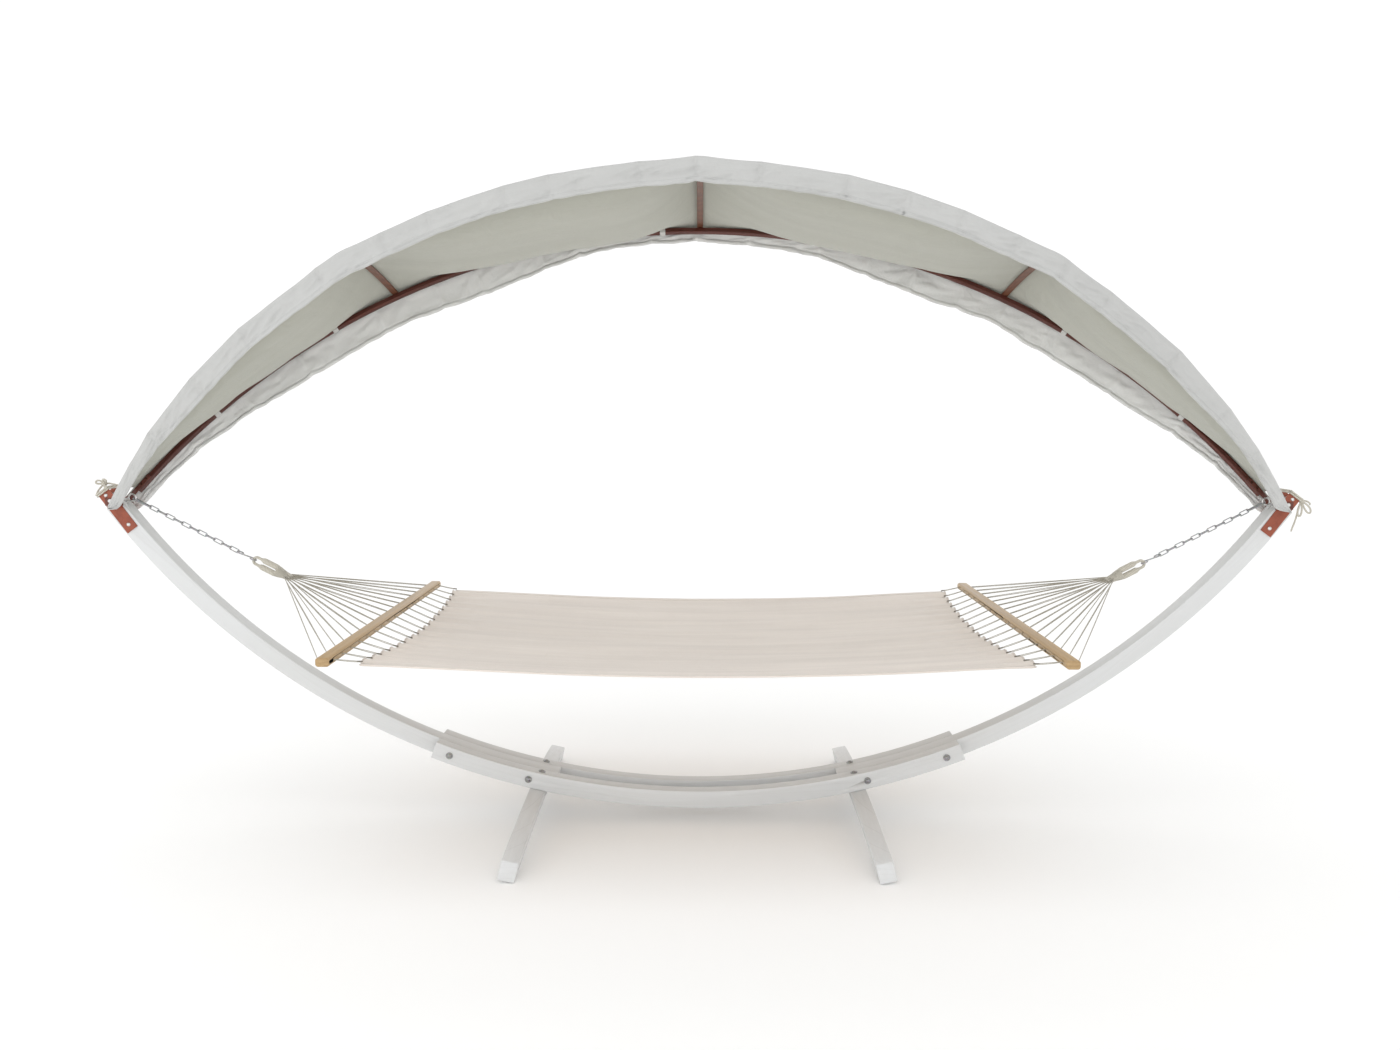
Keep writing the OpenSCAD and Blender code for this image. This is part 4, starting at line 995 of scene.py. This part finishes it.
def makeTie(side, finish):
    cord = tie["cord"]
    pieces = [makeCord("tieRing", tieRing(side, tie["along"] + lap * (cord + tie["lapGap"])), cord,
                       closed=True, resolution=2) for lap in (0, 1)]
    knot = tipPoint(side, *tie["knot"][side])
    base, less = tie["runUp"]
    for lap in (0, 1):
        foot = tipPoint(side, tie["along"] + lap * cord, -tie["plateY"] - tie["around"],
                        side * -tie["plateUp"] * (base - less * lap))
        middle = foot.lerp(knot, 0.5) + Vector((0, -tie["runOut"], 0))
        pieces.append(makeCord("tieRun", [foot, middle, knot], cord, resolution=2))
    axes = (Vector((1, 0, 0)), Vector((0, 1, 0)), Vector((0, 0, 1)))
    for lap in range(3):
        first = axes[lap]
        second = (axes[(lap + 1) % 3] + tie["knotSkew"] * axes[(lap + 2) % 3]).normalized()
        loop = []
        for step in range(tie["knotSteps"]):
            turn = 2 * pi * step / tie["knotSteps"]
            loop.append(knot + tie["turn"] * (cos(turn) * first + sin(turn) * second))
        pieces.append(makeCord("tieKnot", loop, cord * tie["knotCord"], closed=True, resolution=2))
    for way, length, half, drop in tie["bights"][side]:
        way = Vector(way).normalized()
        aside = way.cross(Vector((0, 1, 0))).normalized()
        points = []
        for share in sharesOf(tie["bightSteps"]):
            out = sin(pi * share)
            points.append(knot + way * length * out + aside * half * sin(2 * pi * share)
                          + Vector((0, -tie["bightOut"] * out, -drop * out * out)))
        pieces.append(makeCord("tieBight", points, cord, resolution=2))
    frayX, frayY, frayDown = tie["fray"]
    for way, length, drop in tie["tails"][side]:
        way = Vector(way).normalized()
        points = []
        for share in sharesOf(tie["tailSteps"]):
            wave = tie["tailWave"] * sin(tie["tailWaves"] * share)
            points.append(knot + way * length * share + Vector((0, wave, -drop * share * share)))
        pieces.append(makeCord("tieTail", points, cord * tie["tailCord"], resolution=2))
        for lap in range(3):
            tip = points[-1] + Vector((frayX * (lap - 1), frayY * lap, -frayDown))
            pieces.append(makeCord("tieFray", [points[-2], tip], cord * tie["frayCord"]))
    joinPieces(pieces, "canopyTie", side, finish, "stand", "canopy_tie_")


# CAD shapes with softened edges; "grain" is metres along, through and across the timber
timberArc = {"centreZ": 2.514, "radius": 2.439}
softEdge = {
    "merge": 0.00002, "flatWithin": radians(0.3), "segments": 2,
    "bevelOver": radians(38), "smoothWithin": radians(40),
}


def arcGrain(p):
    angle = atan2(p.x, timberArc["centreZ"] - p.z)
    reach = hypot(p.x, timberArc["centreZ"] - p.z) - timberArc["radius"]
    return angle * timberArc["radius"], reach, p.y


def acrossGrain(p):
    return p.y, p.z, p.x


def bowGrain(side):
    lean, splay = sunroof["lean"], side * sunroof["splay"]

    def grain(p):
        z = p.z - sunroof["base"]
        y1 = p.y * cos(lean) - z * sin(lean) - side * sunroof["bowY"]
        z1 = p.y * sin(lean) + z * cos(lean)
        y2 = y1 * cos(splay) - z1 * sin(splay)
        z2 = y1 * sin(splay) + z1 * cos(splay) + bowDrop
        return atan2(p.x, z2) * bowRadius, hypot(p.x, z2) - bowRadius, y2
    return grain


def pieceName(node):
    first, *rest = node.split("_")
    return first + "".join(word.title() for word in rest)


def softCopy(node, name, edge, grain, finish):
    source = frame["nodes"][node]
    piece = bpy.data.objects.new(name, source.data.copy())
    piece.matrix_world = source.matrix_world
    bpy.context.collection.objects.link(piece)
    pickOnly(piece)
    setMode("EDIT")
    bpy.ops.mesh.select_all(action="SELECT")
    bpy.ops.mesh.remove_doubles(threshold=softEdge["merge"])
    bpy.ops.mesh.dissolve_limited(angle_limit=softEdge["flatWithin"])
    setMode("OBJECT")
    soften = piece.modifiers.new("softEdge", "BEVEL")
    soften.width = edge
    soften.segments = softEdge["segments"]
    soften.limit_method = "ANGLE"
    soften.angle_limit = softEdge["bevelOver"]
    soften.use_clamp_overlap = False
    bpy.ops.object.modifier_apply(modifier="softEdge")
    bpy.ops.object.transform_apply()
    bpy.ops.object.shade_smooth_by_angle(angle=softEdge["smoothWithin"])
    values = [value for vertex in piece.data.vertices for value in grain(vertex.co)]
    piece.data.attributes.new("grain", "FLOAT_VECTOR", "POINT").data.foreach_set("vector", values)
    dress(piece, finish, bodyOf[node])
    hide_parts(node)


def dressNode(node, finish):
    source = frame["nodes"][node]
    if source.material_slots:
        for slot in source.material_slots:
            slot.material = finish
    else:
        source.data.materials.append(finish)


makeStudio()
print("camera, floor and lights made")

# the fan and pair cords are the rope's cream painted darker: painted shade
shadeDarkenedCord = laidCord("creamCord", (0.50, 0.47, 0.40), (0.31, 0.285, 0.235), pitch=0.012, girth=0.0028)
rawRope = laidCord("creamRope", (0.70, 0.67, 0.59), (0.40, 0.37, 0.30), pitch=0.014, girth=0.005)
# near-black brown for the cord-end wraps: painted shade of the slits at the cloth's end
brownThread = laidCord("brownThread", (0.13, 0.10, 0.075), (0.06, 0.045, 0.035), pitch=0.006, girth=0.0056)
# a cloth's third tint is painted shade on its underside; the canopy's outer face is dimmed as painted shade
bedCanvas = wovenCloth("bedCanvas", (0.87, 0.795, 0.725), (0.70, 0.63, 0.57), (0.95, 0.93, 0.9), pitch=0.0016,
                       seam=bedSize["seam"], fold=(1.2, 9))
canopyCloth = wovenCloth("canopyCloth", (0.87, 0.875, 0.86), (0.79, 0.795, 0.78), (0.575, 0.58, 0.52),
                         pitch=0.0011, seam=edgeSet["flatEdge"] - edgeSet["seam"], fold=(5, 7),
                         crumple=0.5, paintedOuterShade=0.68)
tabCloth = wovenCloth("tabCloth", (0.70, 0.70, 0.68), (0.62, 0.62, 0.60), (0.74, 0.745, 0.67), pitch=0.0011,
                      place=objectPlace)
whitePaint = paintedTimber()
bowStain = stainedTimber("redBrownStain", (0.060, 0.012, 0.008), (0.145, 0.032, 0.018))
crossStain = stainedTimber("brownStain", (0.11, 0.042, 0.022), (0.21, 0.085, 0.045))
barVarnish = stainedTimber("clearVarnish", (0.385, 0.245, 0.108), (0.575, 0.40, 0.205), coat=0.2)
darkSteel = plainSteel("brownedSteel", (0.10, 0.045, 0.03), (0.05, 0.022, 0.016), (0.35, 0.55))
dullSteel = plainSteel("dullZinc", (0.44, 0.44, 0.435), (0.24, 0.24, 0.24), (0.30, 0.48))
platedSteel = plainSteel("brightZinc", (0.80, 0.80, 0.79), (0.62, 0.62, 0.62), (0.25, 0.42))
wireSteel = plainSteel("wireZinc", (0.52, 0.53, 0.54), (0.36, 0.36, 0.37), (0.38, 0.6))
tipPaint = platePaint("terracottaPaint", (0.25, 0.050, 0.022), (0.33, 0.078, 0.036))
strapPaint = platePaint("strapPaint", (0.085, 0.018, 0.011), (0.16, 0.04, 0.024))
print("finishes made")

for end in (-1, 1):
    makeCords(end, shadeDarkenedCord, brownThread)
    makeRopeEye(end, rawRope)
    makeWhipping(end, rawRope)
    makeTie(end, rawRope)
print("cords and rope eyes made")

canopy, canopyHems = makeCanopy(canopyCloth)
bed, bedTrims = makeBed(bedCanvas)
bedEnds = [makeEndHem(end, bedCanvas) for end in (-1, 1)]
print("canopy and bed cloth made")

softPieces = (
    (("rail_front", "rail_back", "arm_left", "arm_right"), 0.0022, arcGrain, whitePaint, "painted_wood"),
    (("foot_left", "foot_right"), 0.0025, acrossGrain, whitePaint, "painted_wood"),
    (("canopy_bow_front",), 0.002, bowGrain(-1), bowStain, "bow_wood"),
    (("canopy_bow_back",), 0.002, bowGrain(1), bowStain, "bow_wood"),
    (("crossbar_left", "crossbar_centre", "crossbar_right"), 0.0015, acrossGrain, crossStain, "crossbar_wood"),
    (("spreader_bar_left", "spreader_bar_right"), 0.003, acrossGrain, barVarnish, "bar_wood"),
    (("plate_left_front", "plate_left_back", "plate_right_front", "plate_right_back"),
     0.0006, acrossGrain, tipPaint, "plate_paint"),
    (("bow_straps",), 0.0006, acrossGrain, strapPaint, "plate_paint"),
    (("canopy_loops",), 0.0004, acrossGrain, tabCloth, "canopy_fabric"),
)
for nodes, edge, grain, finish, slot in softPieces:
    for node in nodes:
        softCopy(node, pieceName(node.replace("canopy_bow", "bow")), edge, grain, finish)
for node in frame["nodes"]:
    if node == "bow_screws":
        dressNode(node, darkSteel)
    elif node.startswith(("frame_", "foot_")) and not node.endswith(("left", "right")):
        dressNode(node, dullSteel)
    elif node.endswith(("bolts", "washers", "nuts", "screws", "spacers")) or node.startswith("eye_"):
        dressNode(node, platedSteel)
    elif node.startswith(("snap", "chain", "s_hook")):
        dressNode(node, wireSteel)
print("timber and steel dressed")
